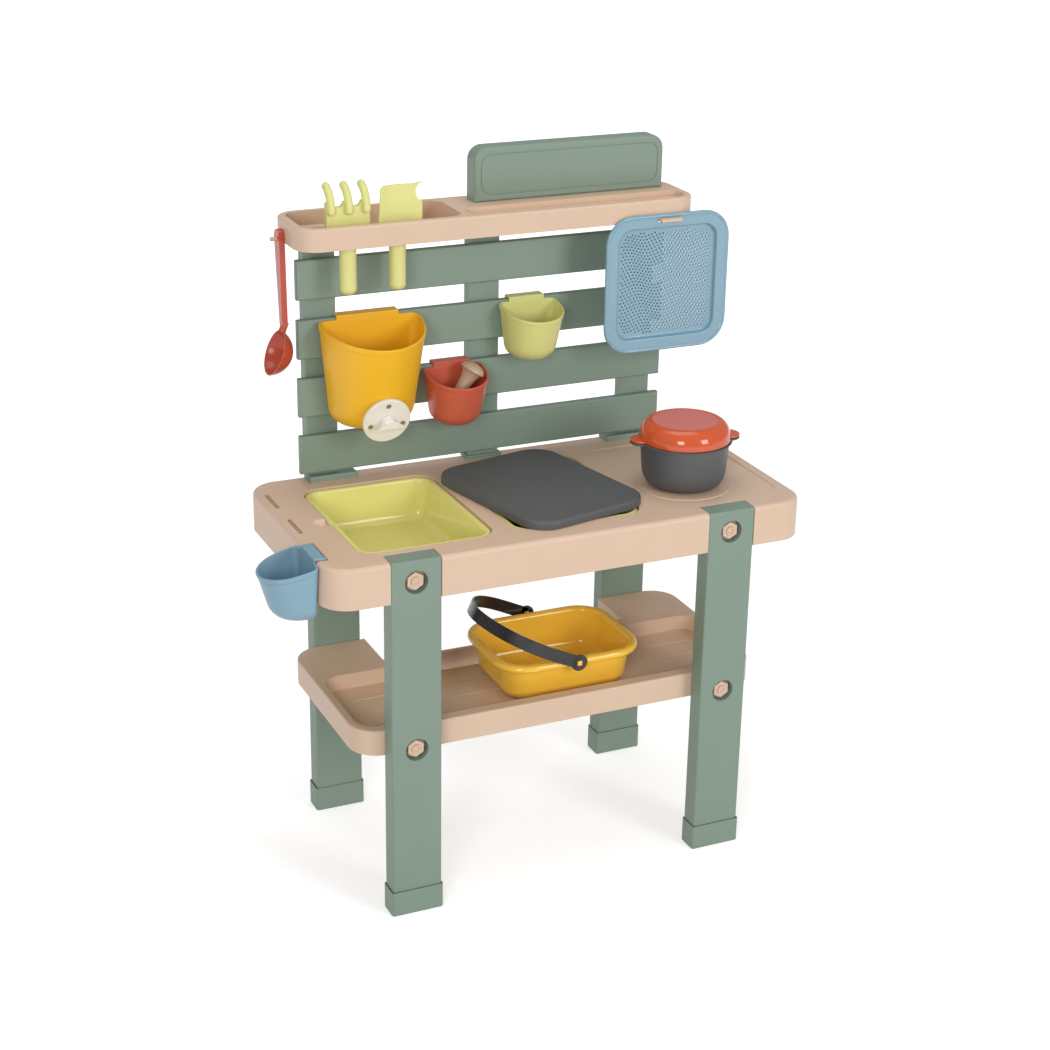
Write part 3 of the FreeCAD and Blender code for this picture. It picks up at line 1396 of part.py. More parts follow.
def make_ladle():
    """Ladle that hangs on the tray's peg with its bowl open to the left."""
    right = -tray_length / 2 - rest_gap
    left = right - ladle_thickness
    top = ladle_peg_z + ladle_hole_from_top
    bottom = top - ladle_length
    half_top, half_neck = ladle_top_width / 2, ladle_neck_width / 2
    neck_y = ladle_peg_y - ladle_lean
    shoulder = top - half_top
    crown_left = Vector(left, ladle_peg_y + half_top, shoulder)
    crown_right = Vector(left, ladle_peg_y - half_top, shoulder)
    crown = Part.Arc(crown_right, Vector(left, ladle_peg_y, top), crown_left).toShape()
    neck_left = Vector(left, neck_y + half_neck, bottom)
    neck_right = Vector(left, neck_y - half_neck, bottom)
    outline = Part.Wire([crown, Part.makeLine(crown_left, neck_left),
                         Part.makeLine(neck_left, neck_right),
                         Part.makeLine(neck_right, crown_right)])
    strap = Part.Face(outline).extrude(Vector(ladle_thickness, 0, 0))
    tilt = math.radians(ladle_bowl_tilt)
    along = Vector(-math.sin(tilt), 0, -math.cos(tilt))
    neck = Vector(right - ladle_thickness / 2, neck_y, bottom)
    centre = neck.add(Vector(along).multiply(ladle_bowl_radius + ladle_neck_width / 2))
    out = Vector(-math.cos(tilt), 0, math.sin(tilt))
    turn = Rotation(Vector(0, 0, 1), out)
    outer = bowl_body(ladle_bowl_radius, ladle_bowl_depth)
    inner = bowl_body(ladle_bowl_radius - ladle_wall, ladle_bowl_depth - ladle_wall)
    inner = inner.fuse(rod(ladle_bowl_radius - ladle_wall, Vector(0, 0, 0),
                           Vector(0, 0, ladle_bowl_radius)))
    outer.Placement = Placement(centre, turn)
    inner.Placement = Placement(centre, turn)
    link_start = neck.sub(Vector(along).multiply(ladle_neck_width / 2))
    link_end = centre.sub(Vector(along).multiply(ladle_bowl_radius * ladle_link_share))
    link = rod(half_neck * ladle_link_share, link_start, link_end)
    ladle = join([strap, outer, link]).cut(inner)
    hole_start = Vector(left - overrun, ladle_peg_y, ladle_peg_z)
    hole_end = Vector(right + overrun, ladle_peg_y, ladle_peg_z)
    return ladle.cut(rod(ladle_peg_radius + hinge_gap, hole_start, hole_end))


def tool_handle(x):
    """Round handle that hangs below the tray, with a rounded end."""
    top = tray_floor_z + rest_gap
    end = top - tool_handle_length
    handle = rod(tool_handle_radius, Vector(x, tool_y, end), Vector(x, tool_y, top))
    return round_level_edges(handle, end, tool_handle_radius * tool_handle_end_share)


def make_rake():
    """Rake whose three tines start as ribs on the palm's front and curl up and back."""
    base = tray_floor_z + rest_gap
    half = rake_tine_pitch + rake_tine_radius
    front = tool_y - rake_palm_thickness / 2
    scallop = rake_tine_pitch / 2 - rake_tine_radius
    top = base + rake_palm_height + scallop
    neck = tool_hole_length / 2 + overrun
    shoulder = base + rake_palm_height * rake_shoulder_share
    outline = [
        Vector(rake_x - neck, front, base),
        Vector(rake_x + neck, front, base),
        Vector(rake_x + half, front, shoulder),
        Vector(rake_x + half, front, top),
        Vector(rake_x - half, front, top),
        Vector(rake_x - half, front, shoulder),
    ]
    outline.append(outline[0])
    palm = Part.Face(Part.makePolygon(outline)).extrude(Vector(0, rake_palm_thickness, 0))
    for side in (-1, 1):
        middle = rake_x + side * rake_tine_pitch / 2
        palm = palm.cut(rod(scallop, Vector(middle, front - overrun, top),
                            Vector(middle, front + rake_palm_thickness + overrun, top)))
    pieces = [palm, tool_handle(rake_x)]
    tine_y = front - rake_tine_stand_off
    start_z = base + rake_tine_start_height
    sweep = math.radians(rake_tine_sweep)
    for step in (-1, 0, 1):
        x = rake_x + step * rake_tine_pitch
        start = Vector(x, tine_y, start_z)
        section = Part.Face(Part.Wire(Part.makeCircle(rake_tine_radius, start, Vector(0, 0, 1))))
        centre = Vector(x, tine_y + rake_tine_bend, start_z)
        tip = centre.add(Vector(0, -rake_tine_bend * math.cos(sweep), rake_tine_bend * math.sin(sweep)))
        pieces += [
            section.revolve(centre, Vector(1, 0, 0), -rake_tine_sweep),
            Part.makeSphere(rake_tine_radius, start),
            Part.makeSphere(rake_tine_radius, tip),
        ]
    return join(pieces)


def make_shovel():
    """Shovel whose blade is bent in three flats, hollow to the front, with a beak over a notch."""
    base = tray_floor_z + rest_gap
    half = tool_head_width / 2
    reach = half + shovel_beak_reach
    flat = shovel_flat_width / 2
    rim = base + shovel_blade_height
    top = rim + shovel_beak_rise
    back = tool_y - shovel_set_forward
    plan = [
        Vector(shovel_x - reach, back - shovel_blade_hollow, base),
        Vector(shovel_x - flat, back, base),
        Vector(shovel_x + flat, back, base),
        Vector(shovel_x + reach, back - shovel_blade_hollow, base),
    ]
    plan += [point.sub(Vector(0, shovel_blade_wall, 0)) for point in reversed(plan)]
    plan.append(plan[0])
    sheet = Part.Face(Part.makePolygon(plan)).extrude(Vector(0, 0, top - base))
    neck = tool_hole_length / 2 + overrun
    notch_points = [
        Vector(shovel_x + half, 0, rim - shovel_notch_end),
        Vector(shovel_x + half - shovel_notch_depth, 0, rim - shovel_notch_middle),
        Vector(shovel_x + reach, 0, top),
    ]
    upper_left = shovel_x - half + shovel_side_lean
    corner_points = [
        Vector(upper_left + shovel_corner, 0, rim),
        Vector(upper_left + shovel_corner * corner_share, 0, rim - shovel_corner * corner_share),
        Vector(upper_left, 0, rim - shovel_corner),
    ]
    straight = [
        corner_points[2],
        Vector(shovel_x - half, 0, base + half / 2),
        Vector(shovel_x - neck, 0, base),
        Vector(shovel_x + neck, 0, base),
        Vector(shovel_x + half, 0, base + half / 2),
        notch_points[0],
    ]
    rim_points = [notch_points[2], Vector(shovel_x + reach - shovel_beak_length, 0, rim), corner_points[0]]
    edges = [Part.Arc(*notch_points).toShape(), Part.Arc(*corner_points).toShape()]
    for line in (straight, rim_points):
        edges += [Part.makeLine(a, b) for a, b in zip(line, line[1:])]
    mask = Part.Face(Part.Wire(Part.__sortEdges__(edges))).extrude(Vector(0, 2 * tool_y, 0))
    blade = sheet.common(mask)
    shoulder = box(shovel_x - neck, shovel_x + neck, back - shovel_blade_wall,
                   tool_y + tool_handle_radius, base, base + 2 * shovel_blade_wall)
    return join([blade, shoulder, tool_handle(shovel_x)])


make_legs()
save("counter_top", make_counter())
save("lower_shelf", make_shelf())
save("post_left", make_post(-post_x, counter_height + back_leg_rise, False))
save("post_right", make_post(post_x, counter_height + back_leg_rise, False))
save("post_middle", make_post(0, counter_height, True))
for slat_index in range(slat_count):
    save("slat_" + str(slat_index + 1), make_slat(slat_index))
save("slat_screws", make_slat_screws())
save("tool_tray", make_tray())
save("sign_board", make_sign())
make_cups()
save("basin_left", make_basin(basin_left_x))
save("basin_middle", make_basin(basin_middle_x))
save("board", make_board())
save("pot", make_pot())
save("pot_lid", make_lid())
save("basket", make_basket())
save("basket_handle", make_handle())
save("sieve", make_sieve())
save("ladle", make_ladle())
save("rake", make_rake())
save("shovel", make_shovel())
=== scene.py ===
import math

import bmesh
import bpy
from mathutils import Matrix, Vector


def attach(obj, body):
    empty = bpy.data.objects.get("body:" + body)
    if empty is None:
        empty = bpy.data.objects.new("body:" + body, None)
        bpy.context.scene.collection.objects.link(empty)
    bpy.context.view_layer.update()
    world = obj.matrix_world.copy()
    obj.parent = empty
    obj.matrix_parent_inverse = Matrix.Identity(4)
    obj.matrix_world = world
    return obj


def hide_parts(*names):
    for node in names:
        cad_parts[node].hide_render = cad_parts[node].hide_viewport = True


bl_info = {
    "name": "Mud kitchen",
    "version": (1, 0, 0),
    "blender": (4, 5, 0),
    "location": "3D View > Sidebar > Mud kitchen",
    "description": "Dresses a mud kitchen for outdoor play and its loose kitchenware",
    "category": "Object",
}

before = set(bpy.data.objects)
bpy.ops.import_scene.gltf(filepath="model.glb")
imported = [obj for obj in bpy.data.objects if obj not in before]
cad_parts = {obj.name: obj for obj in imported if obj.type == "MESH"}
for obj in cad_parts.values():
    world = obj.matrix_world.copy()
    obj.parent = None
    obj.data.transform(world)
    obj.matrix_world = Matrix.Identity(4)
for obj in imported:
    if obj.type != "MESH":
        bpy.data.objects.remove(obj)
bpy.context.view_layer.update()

MM = 0.001
SHARP_RIM = 0.8  # radians: an edge that turns more than this is a rim
LEG_X = 229.5
LEG_RECESS_Y = 159
BOLT_ROWS = (("counter", 486.5), ("shelf", 246.5))
CUP_SLOTS_Y = (-100, -2.5, 95)
SLAT_FRONT_Y = 142.2
POT_X, POT_Y = 218, -50
EAR_TURN = -10.9


def linear(colour):
    """An sRGB hex colour as linear red, green, blue."""
    shares = [int(colour[i : i + 2], 16) / 255 for i in (1, 3, 5)]
    return tuple(s / 12.92 if s <= 0.04045 else ((s + 0.055) / 1.055) ** 2.4 for s in shares)


def add(tree, kind, settings=None, values=None, links=None):
    """Adds a node with its settings, its values and the sockets that it reads."""
    node = tree.nodes.new(kind)
    for name, value in (settings or {}).items():
        setattr(node, name, value)
    for name, value in (values or {}).items():
        node.inputs[name].default_value = value
    for name, socket in (links or {}).items():
        tree.links.new(socket, node.inputs[name])
    return node


# Finishes


def moulded_plastic(name, colour, roughness, grain, depth, ior=1.49):
    """Moulded thermoplastic, with the size of the mould's grain and its relief in millimetres."""
    tone = 1.05
    drift_size = 90 * MM
    material = bpy.data.materials.new(name)
    material.use_nodes = True
    tree = material.node_tree
    tree.nodes.clear()
    place = add(tree, "ShaderNodeTexCoord").outputs["Object"]
    # The melt cools unevenly, so the tone drifts a little over a hand's width.
    drift = add(
        tree, "ShaderNodeTexNoise", values={"Scale": 1 / drift_size, "Detail": 2.0}, links={"Vector": place}
    )
    # The mould is spark-eroded, which leaves a fine pitted grain.
    pits = add(
        tree,
        "ShaderNodeTexNoise",
        values={"Scale": 1 / (grain * MM), "Detail": 3.0, "Roughness": 0.6},
        links={"Vector": place},
    )
    mix = add(tree, "ShaderNodeMix", {"data_type": "RGBA"}, links={"Factor": drift.outputs["Fac"]})
    mix.inputs["A"].default_value = (*[c / tone for c in colour], 1.0)
    mix.inputs["B"].default_value = (*[min(1.0, c * tone) for c in colour], 1.0)
    gloss = add(
        tree,
        "ShaderNodeMapRange",
        values={"From Min": 0.25, "From Max": 0.75, "To Min": roughness * 0.88, "To Max": roughness * 1.12},
        links={"Value": pits.outputs["Fac"]},
    )
    relief = add(
        tree,
        "ShaderNodeBump",
        values={"Strength": 1.0, "Distance": depth * MM},
        links={"Height": pits.outputs["Fac"]},
    )
    skin = add(
        tree,
        "ShaderNodeBsdfPrincipled",
        values={"IOR": ior},
        links={"Roughness": gloss.outputs["Result"], "Normal": relief.outputs["Normal"]},
    )
    tree.links.new(mix.outputs["Result"], skin.inputs["Base Color"])
    add(tree, "ShaderNodeOutputMaterial", links={"Surface": skin.outputs["BSDF"]})
    return material


def plated_steel(name, colour, roughness):
    """Zinc-plated steel, with fine rolling marks in its gloss."""
    material = bpy.data.materials.new(name)
    material.use_nodes = True
    tree = material.node_tree
    tree.nodes.clear()
    place = add(tree, "ShaderNodeTexCoord").outputs["Object"]
    mark_size = 0.6 * MM
    marks = add(
        tree, "ShaderNodeTexNoise", values={"Scale": 1 / mark_size, "Detail": 2.0}, links={"Vector": place}
    )
    gloss = add(
        tree,
        "ShaderNodeMapRange",
        values={"From Min": 0.3, "From Max": 0.7, "To Min": roughness * 0.8, "To Max": roughness * 1.2},
        links={"Value": marks.outputs["Fac"]},
    )
    skin = add(
        tree,
        "ShaderNodeBsdfPrincipled",
        values={"Base Color": (*colour, 1.0), "Metallic": 1.0, "IOR": 2.5},
        links={"Roughness": gloss.outputs["Result"]},
    )
    add(tree, "ShaderNodeOutputMaterial", links={"Surface": skin.outputs["BSDF"]})
    return material


def finish(name):
    """One of the kitchen's finishes, made the first time that a piece asks for it."""
    c = bpy.context.scene.kitchen_colours
    makers = {
        # Grained polypropylene is matt, with a fine skin that scatters the light.
        "sage polypropylene": lambda n: moulded_plastic(n, c.sage, 0.46, 1.1, 0.035),
        "graphite polypropylene": lambda n: moulded_plastic(n, c.graphite, 0.5, 1.0, 0.04),
        # Blow-moulded polyethylene is waxy, with a coarser and softer grain.
        "beige polyethylene": lambda n: moulded_plastic(n, c.beige, 0.42, 1.6, 0.04, ior=1.51),
        "sand polyethylene": lambda n: moulded_plastic(n, c.sand, 0.35, 1.2, 0.03, ior=1.51),
        # Satin polypropylene comes from a blasted mould.
        "sun polypropylene": lambda n: moulded_plastic(n, c.sun, 0.4, 1.2, 0.025),
        "terracotta polypropylene": lambda n: moulded_plastic(n, c.terracotta, 0.4, 1.2, 0.025),
        "strap polypropylene": lambda n: moulded_plastic(n, c.strap, 0.22, 1.2, 0.02),
        "lime satin polypropylene": lambda n: moulded_plastic(n, c.lime, 0.4, 1.2, 0.025),
        "sky satin polypropylene": lambda n: moulded_plastic(n, c.sky, 0.36, 1.2, 0.025),
        "lid disc polypropylene": lambda n: moulded_plastic(n, c.disc, 0.5, 0.9, 0.04),
        # Polished moulds leave a wet gloss with a slow ripple.
        "lime gloss polypropylene": lambda n: moulded_plastic(n, c.basin, 0.14, 16, 0.03),
        "amber gloss polypropylene": lambda n: moulded_plastic(n, c.amber, 0.1, 16, 0.03),
        "chilli gloss polypropylene": lambda n: moulded_plastic(n, c.chilli, 0.1, 16, 0.03),
        "brick gloss polypropylene": lambda n: moulded_plastic(n, c.brick, 0.26, 16, 0.03),
        "sky gloss polypropylene": lambda n: moulded_plastic(n, c.sky, 0.13, 16, 0.03),
        "zinc-plated steel": lambda n: plated_steel(n, linear("#B9B7B2"), 0.3),
        "cream acetal": lambda n: moulded_plastic(n, c.cream, 0.28, 1.6, 0.015, ior=1.48),
    }
    return bpy.data.materials.get(name) or makers[name](name)


# Shapes. Every size is in millimetres until a piece is cast.


def bend(radius, start, end, steps=4):
    """Moves along a round turn from one heading to another, in degrees. 0 is inward, 90 forward."""
    side = 1 if end > start else -1
    heads = [math.radians(start + (end - start) * step / steps) for step in range(steps + 1)]
    return [
        (side * radius * (math.sin(b) - math.sin(a)), side * radius * (math.cos(a) - math.cos(b)))
        for a, b in zip(heads, heads[1:])
    ]


def panel(bm, length, depth, back, front=None, steps=8):
    """A level face with rounded corners, centred, with one radius for all corners or two."""
    before = set(bm.faces)
    verts = bmesh.ops.create_grid(bm, x_segments=1, y_segments=1, size=0.5)["verts"]
    bmesh.ops.scale(bm, vec=(length, depth, 1), verts=verts)
    rows = ([v for v in verts if v.co.y > 0], [v for v in verts if v.co.y < 0])
    for row, radius in zip(rows, (back, back if front is None else front)):
        soften(bm, row, radius, steps, "VERTICES")
    (face,) = set(bm.faces) - before
    return face


def thicken(bm, face, height):
    """Raises a face into a slab and gives back its top and its bottom face, both pointing out."""
    made = bmesh.ops.extrude_face_region(bm, geom=[face], use_keep_orig=True)["geom"]
    (top,) = [g for g in made if isinstance(g, bmesh.types.BMFace)]
    bmesh.ops.translate(bm, vec=(0, 0, height), verts=top.verts)
    for each, side in ((top, 1), (face, -1)):
        each.normal_update()
        if each.normal.z * side < 0:
            each.normal_flip()
            each.normal_update()
    return top, face


def draw(bm, face, moves):
    """Draws a level face on ring by ring. Each move is how far inward and how far out of the face."""
    face.normal_update()
    side = 1 if face.normal.z > 0 else -1
    for inward, forward in moves:
        face.normal_update()
        bmesh.ops.inset_region(bm, faces=[face], thickness=inward, use_even_offset=True, use_boundary=True)
        bmesh.ops.translate(bm, vec=(0, 0, side * forward), verts=face.verts)
    return face


def turned(bm, start, moves, steps=64):
    """A body turned about the vertical axis from a walked outline of radius and height."""
    verts = [bm.verts.new((start[0], 0, start[1]))]
    for out, up in moves:
        last = verts[-1].co
        verts.append(bm.verts.new((max(0.0, last.x + out), 0, last.z + up)))
    edges = [bm.edges.new(pair) for pair in zip(verts, verts[1:])]
    bmesh.ops.spin(
        bm,
        geom=verts + edges,
        cent=(0, 0, 0),
        axis=(0, 0, 1),
        angle=math.tau,
        steps=steps,
        use_merge=True,
    )
    bmesh.ops.remove_doubles(bm, verts=bm.verts, dist=0.001)


def rims_of(verts):
    """The sharp edges that meet some vertices."""
    edges = {e for v in verts for e in v.link_edges}
    return [e for e in edges if e.calc_face_angle(0) > SHARP_RIM]


def soften(bm, geom, width, steps=2, affect="EDGES"):
    """Rounds edges, or the corners of a face."""
    bmesh.ops.bevel(
        bm,
        geom=geom,
        offset=width,
        offset_type="OFFSET",
        affect=affect,
        segments=steps,
        profile=0.5,
        material=-1,
    )


def bar(bm, x0, x1, y0, y1, z0, z1, edge=0.0, steps=2):
    """A block between two values on each axis, with soft edges."""
    size = (x1 - x0, y1 - y0, z1 - z0)
    middle = Matrix.Translation(((x0 + x1) / 2, (y0 + y1) / 2, (z0 + z1) / 2))
    made = bmesh.ops.create_cube(bm, size=1.0, matrix=middle @ Matrix.Diagonal((*size, 1)))
    if edge:
        soften(bm, list({e for v in made["verts"] for e in v.link_edges}), edge, steps)


def keep_flat(piece):
    """Keeps the shading of flat faces flat beside soft edges."""
    level = piece.modifiers.new("flat faces stay flat", "WEIGHTED_NORMAL")
    level.keep_sharp = True


def cast(bm, name, body, material, nodes=(), move=None, sharp=34, flat=True):
    """Turns a shape drawn in millimetres into a smooth piece that rides on a body."""
    bmesh.ops.remove_doubles(bm, verts=bm.verts, dist=0.002)
    bmesh.ops.recalc_face_normals(bm, faces=bm.faces)
    bmesh.ops.transform(bm, matrix=Matrix.Scale(MM, 4) @ (move or Matrix()), verts=bm.verts)
    mesh = bpy.data.meshes.new(name)
    bm.to_mesh(mesh)
    bm.free()
    mesh.shade_smooth()
    mesh.set_sharp_from_angle(angle=math.radians(sharp))
    for each in material if isinstance(material, list) else [material]:
        mesh.materials.append(each)
    piece = bpy.data.objects.new(name, mesh)
    bpy.context.scene.collection.objects.link(piece)
    if flat:
        keep_flat(piece)
    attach(piece, body)
    if nodes:
        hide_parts(*nodes)
    return piece


def refine(node, body, material, edge, angle=38):
    """Merges a copy of a CAD node and gives it soft edges and its finish."""
    flatten = 0.6
    bm = bmesh.new()
    bm.from_mesh(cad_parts[node].data)
    bmesh.ops.transform(bm, matrix=Matrix.Scale(1 / MM, 4), verts=bm.verts)
    bmesh.ops.remove_doubles(bm, verts=bm.verts, dist=0.004)
    bmesh.ops.dissolve_limit(bm, angle_limit=math.radians(flatten), verts=bm.verts, edges=bm.edges)
    piece = cast(bm, node + "_moulding", body, material, [node], sharp=angle, flat=False)
    soft = piece.modifiers.new("soft edges", "BEVEL")
    soft.width = edge * MM
    soft.segments = 2
    soft.limit_method = "ANGLE"
    soft.angle_limit = math.radians(angle)
    soft.use_clamp_overlap = True
    keep_flat(piece)


def wear(node, material):
    """Gives a CAD node its finish."""
    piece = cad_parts[node]
    if not piece.material_slots:
        piece.data.materials.append(material)
    for place in piece.material_slots:
        place.material = material


# Settings


def colour(name, description, default):
    """A colour that a user can change."""
    return bpy.props.FloatVectorProperty(
        name=name, description=description, subtype="COLOR", size=3, min=0, max=1, default=linear(default)
    )


def length(name, description, default):
    """A size in millimetres that a user can change."""
    return bpy.props.FloatProperty(name=name, description=description, min=0, default=default)


class KitchenColours(bpy.types.PropertyGroup):
    """Colours of the mouldings."""

    sage: colour("Sage", "Legs, posts, slats and sign", "#7F9284")
    beige: colour("Beige", "Counter, shelf, tray and bolts", "#D8BBA2")
    lime: colour("Lime", "Lime cup and garden tools", "#DCDA8B")
    basin: colour("Basin lime", "Basins", "#E2DC86")
    sun: colour("Sun yellow", "Bucket", "#F6BC24")
    amber: colour("Amber", "Carry basket", "#F8C444")
    terracotta: colour("Terracotta", "Red cup", "#CB5F47")
    chilli: colour("Chilli red", "Pot lid", "#D0582F")
    disc: colour("Lid disc", "Satin disc on the lid", "#D07468")
    brick: colour("Brick red", "Ladle", "#B8452D")
    graphite: colour("Graphite", "Board and pot", "#565759")
    strap: colour("Strap black", "Basket handle", "#2A2829")
    sky: colour("Sky blue", "Sieve and blue cup", "#82A6B8")
    cream: colour("Cream", "Tap", "#EDE7DC")
    sand: colour("Sand", "Pestle", "#C2A78C")


class KitchenSizes(bpy.types.PropertyGroup):
    """Sizes of the details, in millimetres."""

    hole_radius: length("Hole radius", "Radius of the sieve's holes", 1.35)
    hole_pitch: length("Hole pitch", "Distance between the sieve's holes", 5.1)
    hole_wave: length("Wave height", "How far the rows of holes swing up and down", 3.6)
    lip_step: length("Lip step", "How far the lip of a cup stands out", 0.9)


# Steps


class KITCHEN_OT_stage(bpy.types.Operator):
    """Sets the pale floor, the soft lights and the camera"""

    bl_idname = "kitchen.stage"
    bl_label = "Stage"

    def execute(self, context):
        scene = context.scene
        scene.view_settings.view_transform = "Standard"
        floor = bpy.data.meshes.new("studio_floor")
        bm = bmesh.new()
        bmesh.ops.create_grid(bm, x_segments=1, y_segments=1, size=30)
        bm.to_mesh(floor)
        bm.free()
        ground = bpy.data.objects.new("studio_floor", floor)
        scene.collection.objects.link(ground)
        # Matt photo paper, lifted to white where the camera or a gloss sees it.
        paper = bpy.data.materials.new("matt studio paper")
        paper.use_nodes = True
        tree = paper.node_tree
        tree.nodes.clear()
        rays = add(tree, "ShaderNodeLightPath")
        seen = add(tree, "ShaderNodeMath", {"operation": "MAXIMUM"})
        tree.links.new(rays.outputs["Is Camera Ray"], seen.inputs[0])
        tree.links.new(rays.outputs["Is Glossy Ray"], seen.inputs[1])
        place = add(tree, "ShaderNodeTexCoord").outputs["Object"]
        away = add(tree, "ShaderNodeVectorMath", {"operation": "LENGTH"}, links={0: place})
        level = add(
            tree,
            "ShaderNodeMapRange",
            values={"From Min": 0.7, "From Max": 3.0, "To Min": 0.5, "To Max": 0.9},
            links={"Value": away.outputs["Value"]},
        )
        lift = add(
            tree,
            "ShaderNodeMath",
            {"operation": "MULTIPLY"},
            links={0: seen.outputs[0], 1: level.outputs["Result"]},
        )
        matt = add(tree, "ShaderNodeBsdfDiffuse", values={"Color": (0.80, 0.80, 0.80, 1)})
        white = {"Color": (1, 1, 1, 1)}
        glow = add(tree, "ShaderNodeEmission", values=white, links={"Strength": lift.outputs[0]})
        both = add(tree, "ShaderNodeAddShader", links={0: matt.outputs[0], 1: glow.outputs[0]})
        add(tree, "ShaderNodeOutputMaterial", links={"Surface": both.outputs[0]})
        floor.materials.append(paper)

        world = bpy.data.worlds.new("white studio")
        scene.world = world
        world.use_nodes = True
        tree = world.node_tree
        tree.nodes.clear()
        rays = add(tree, "ShaderNodeLightPath")
        seen = add(tree, "ShaderNodeMath", {"operation": "MAXIMUM"})
        tree.links.new(rays.outputs["Is Camera Ray"], seen.inputs[0])
        tree.links.new(rays.outputs["Is Transmission Ray"], seen.inputs[1])
        # The camera sees white, and the pieces are lit by less.
        level = add(
            tree,
            "ShaderNodeMapRange",
            values={"To Min": 0.42, "To Max": 1.0},
            links={"Value": seen.outputs[0]},
        )
        sky = add(tree, "ShaderNodeBackground", values=white, links={"Strength": level.outputs[0]})
        add(tree, "ShaderNodeOutputWorld", links={"Surface": sky.outputs[0]})

        aim = Vector((0, 0, 0.5))
        # Each light has its place and its size in metres, and its power in watts.
        for name, place, size, power in (
            ("key_softbox", (-2.6, -3.6, 2.0), (1.2, 1.6), 70),
            ("fill_softbox", (1.8, -3.8, 1.9), (1.2, 1.6), 58),
            ("top_softbox", (0.0, 0.2, 3.6), (2.4, 2.0), 30),
        ):
            lamp = bpy.data.lights.new(name, "AREA")
            lamp.shape = "RECTANGLE"
            lamp.size, lamp.size_y = size
            lamp.energy = power
            box = bpy.data.objects.new(name, lamp)
            box.location = place
            box.rotation_mode = "QUATERNION"
            box.rotation_quaternion = (aim - Vector(place)).to_track_quat("-Z", "Y")
            scene.collection.objects.link(box)

        # The photograph's parallel edges gave the camera's place, its turn and its lens.
        eye = bpy.data.cameras.new("camera")
        eye.sensor_width = 36
        eye.lens = 71.5
        eye.clip_start, eye.clip_end = 0.05, 100
        camera = bpy.data.objects.new("camera", eye)
        right = (0.91129, -0.41145, 0.01614)
        up = (0.13965, 0.34570, 0.92790)
        ahead = (0.38736, 0.84333, -0.37249)
        turn = Matrix((right, up, tuple(-a for a in ahead))).transposed().to_4x4()
        camera.matrix_world = Matrix.Translation((-1.12179, -2.44046, 1.54522)) @ turn
        scene.collection.objects.link(camera)
        scene.camera = camera
        return {"FINISHED"}


class KITCHEN_OT_frame(bpy.types.Operator):
    """Gives the legs, caps, posts, slats, screws, sign, counter, shelf and tray their finishes"""

    bl_idname = "kitchen.frame"
    bl_label = "Frame"

    def execute(self, context):
        for node in list(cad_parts):
            if node.startswith(("leg_", "foot_", "post_", "sign_")):
                refine(node, "frame", finish("sage polypropylene"), edge=0.7)
            elif node.startswith("slat_") and node != "slat_screws":
                refine(node, "frame", finish("sage polypropylene"), edge=1.2)
            elif node in ("counter_top", "lower_shelf", "tool_tray"):
                refine(node, "frame", finish("beige polyethylene"), edge=0.5)
        wear("slat_screws", finish("zinc-plated steel"))
        return {"FINISHED"}


class KITCHEN_OT_bolts(bpy.types.Operator):
    """Makes the eight big hexagon bolts and the sleeves under the cup slots"""

    bl_idname = "kitchen.bolts"
    bl_label = "Bolts and sleeves"

    def execute(self, context):
        for row, height in BOLT_ROWS:
            bm = bmesh.new()
            for x in (-LEG_X, LEG_X):
                for side in (-1, 1):
                    before = set(bm.verts)
                    self.bolt(bm)
                    turn = Matrix.Rotation(math.pi / 2 * -side, 4, "X")
                    place = Matrix.Translation((x, side * LEG_RECESS_Y, height)) @ turn
                    bmesh.ops.transform(bm, matrix=place, verts=[v for v in bm.verts if v not in before])
            waxy = finish("beige polyethylene")
            cast(bm, row + "_bolt_mouldings", "frame", waxy, [row + "_bolts"])
        self.sleeves()
        return {"FINISHED"}

    def bolt(self, bm):
        """A shank with a flange, a moulded ring and a hexagon head, all standing up."""
        shank = [(6.4, 0), (0.6, 0.6), (0, 29.4)]
        flange = [(6.7, 0), *bend(0.8, 0, 180, 4), (-14.5, 0)]
        turned(bm, (0, -30), [*shank, *flange], 48)
        ring = [(3.6, 0), (0.2, 1.6), (0.5, 0.4), (1.3, 0), (0.5, -0.4), (0.2, -4), (-6.3, 0)]
        turned(bm, (0, 8.6), ring, 32)
        foot_radius, top_radius, height, middle = 12.9, 12.5, 6.8, 4.6
        head = bmesh.ops.create_cone(
            bm,
            cap_ends=True,
            segments=6,
            radius1=foot_radius,
            radius2=top_radius,
            depth=height,
            matrix=Matrix.Translation((0, 0, middle)),
        )
        soften(bm, rims_of(head["verts"]), 0.7, 2)

    def sleeves(self):
        """Troughs under the cup slots, which close the view through the counter."""
        left, right, reach, wall = -343.6, -332.0, 31, 2
        low, join, top = 492, 493.5, 513.5
        bm = bmesh.new()
        for middle in CUP_SLOTS_Y:
            bar(bm, left, right, middle - reach, middle + reach, low, low + wall)
            for x0, x1 in ((left, -341.4), (-334.2, right)):
                bar(bm, x0, x1, middle - reach, middle + reach, join, top)
            for y0, y1 in ((middle - reach, middle - reach + wall), (middle + reach - wall, middle + reach)):
                bar(bm, left, right, y0, y1, join, top)
        cast(bm, "cup_slot_sleeves", "frame", finish("beige polyethylene"))


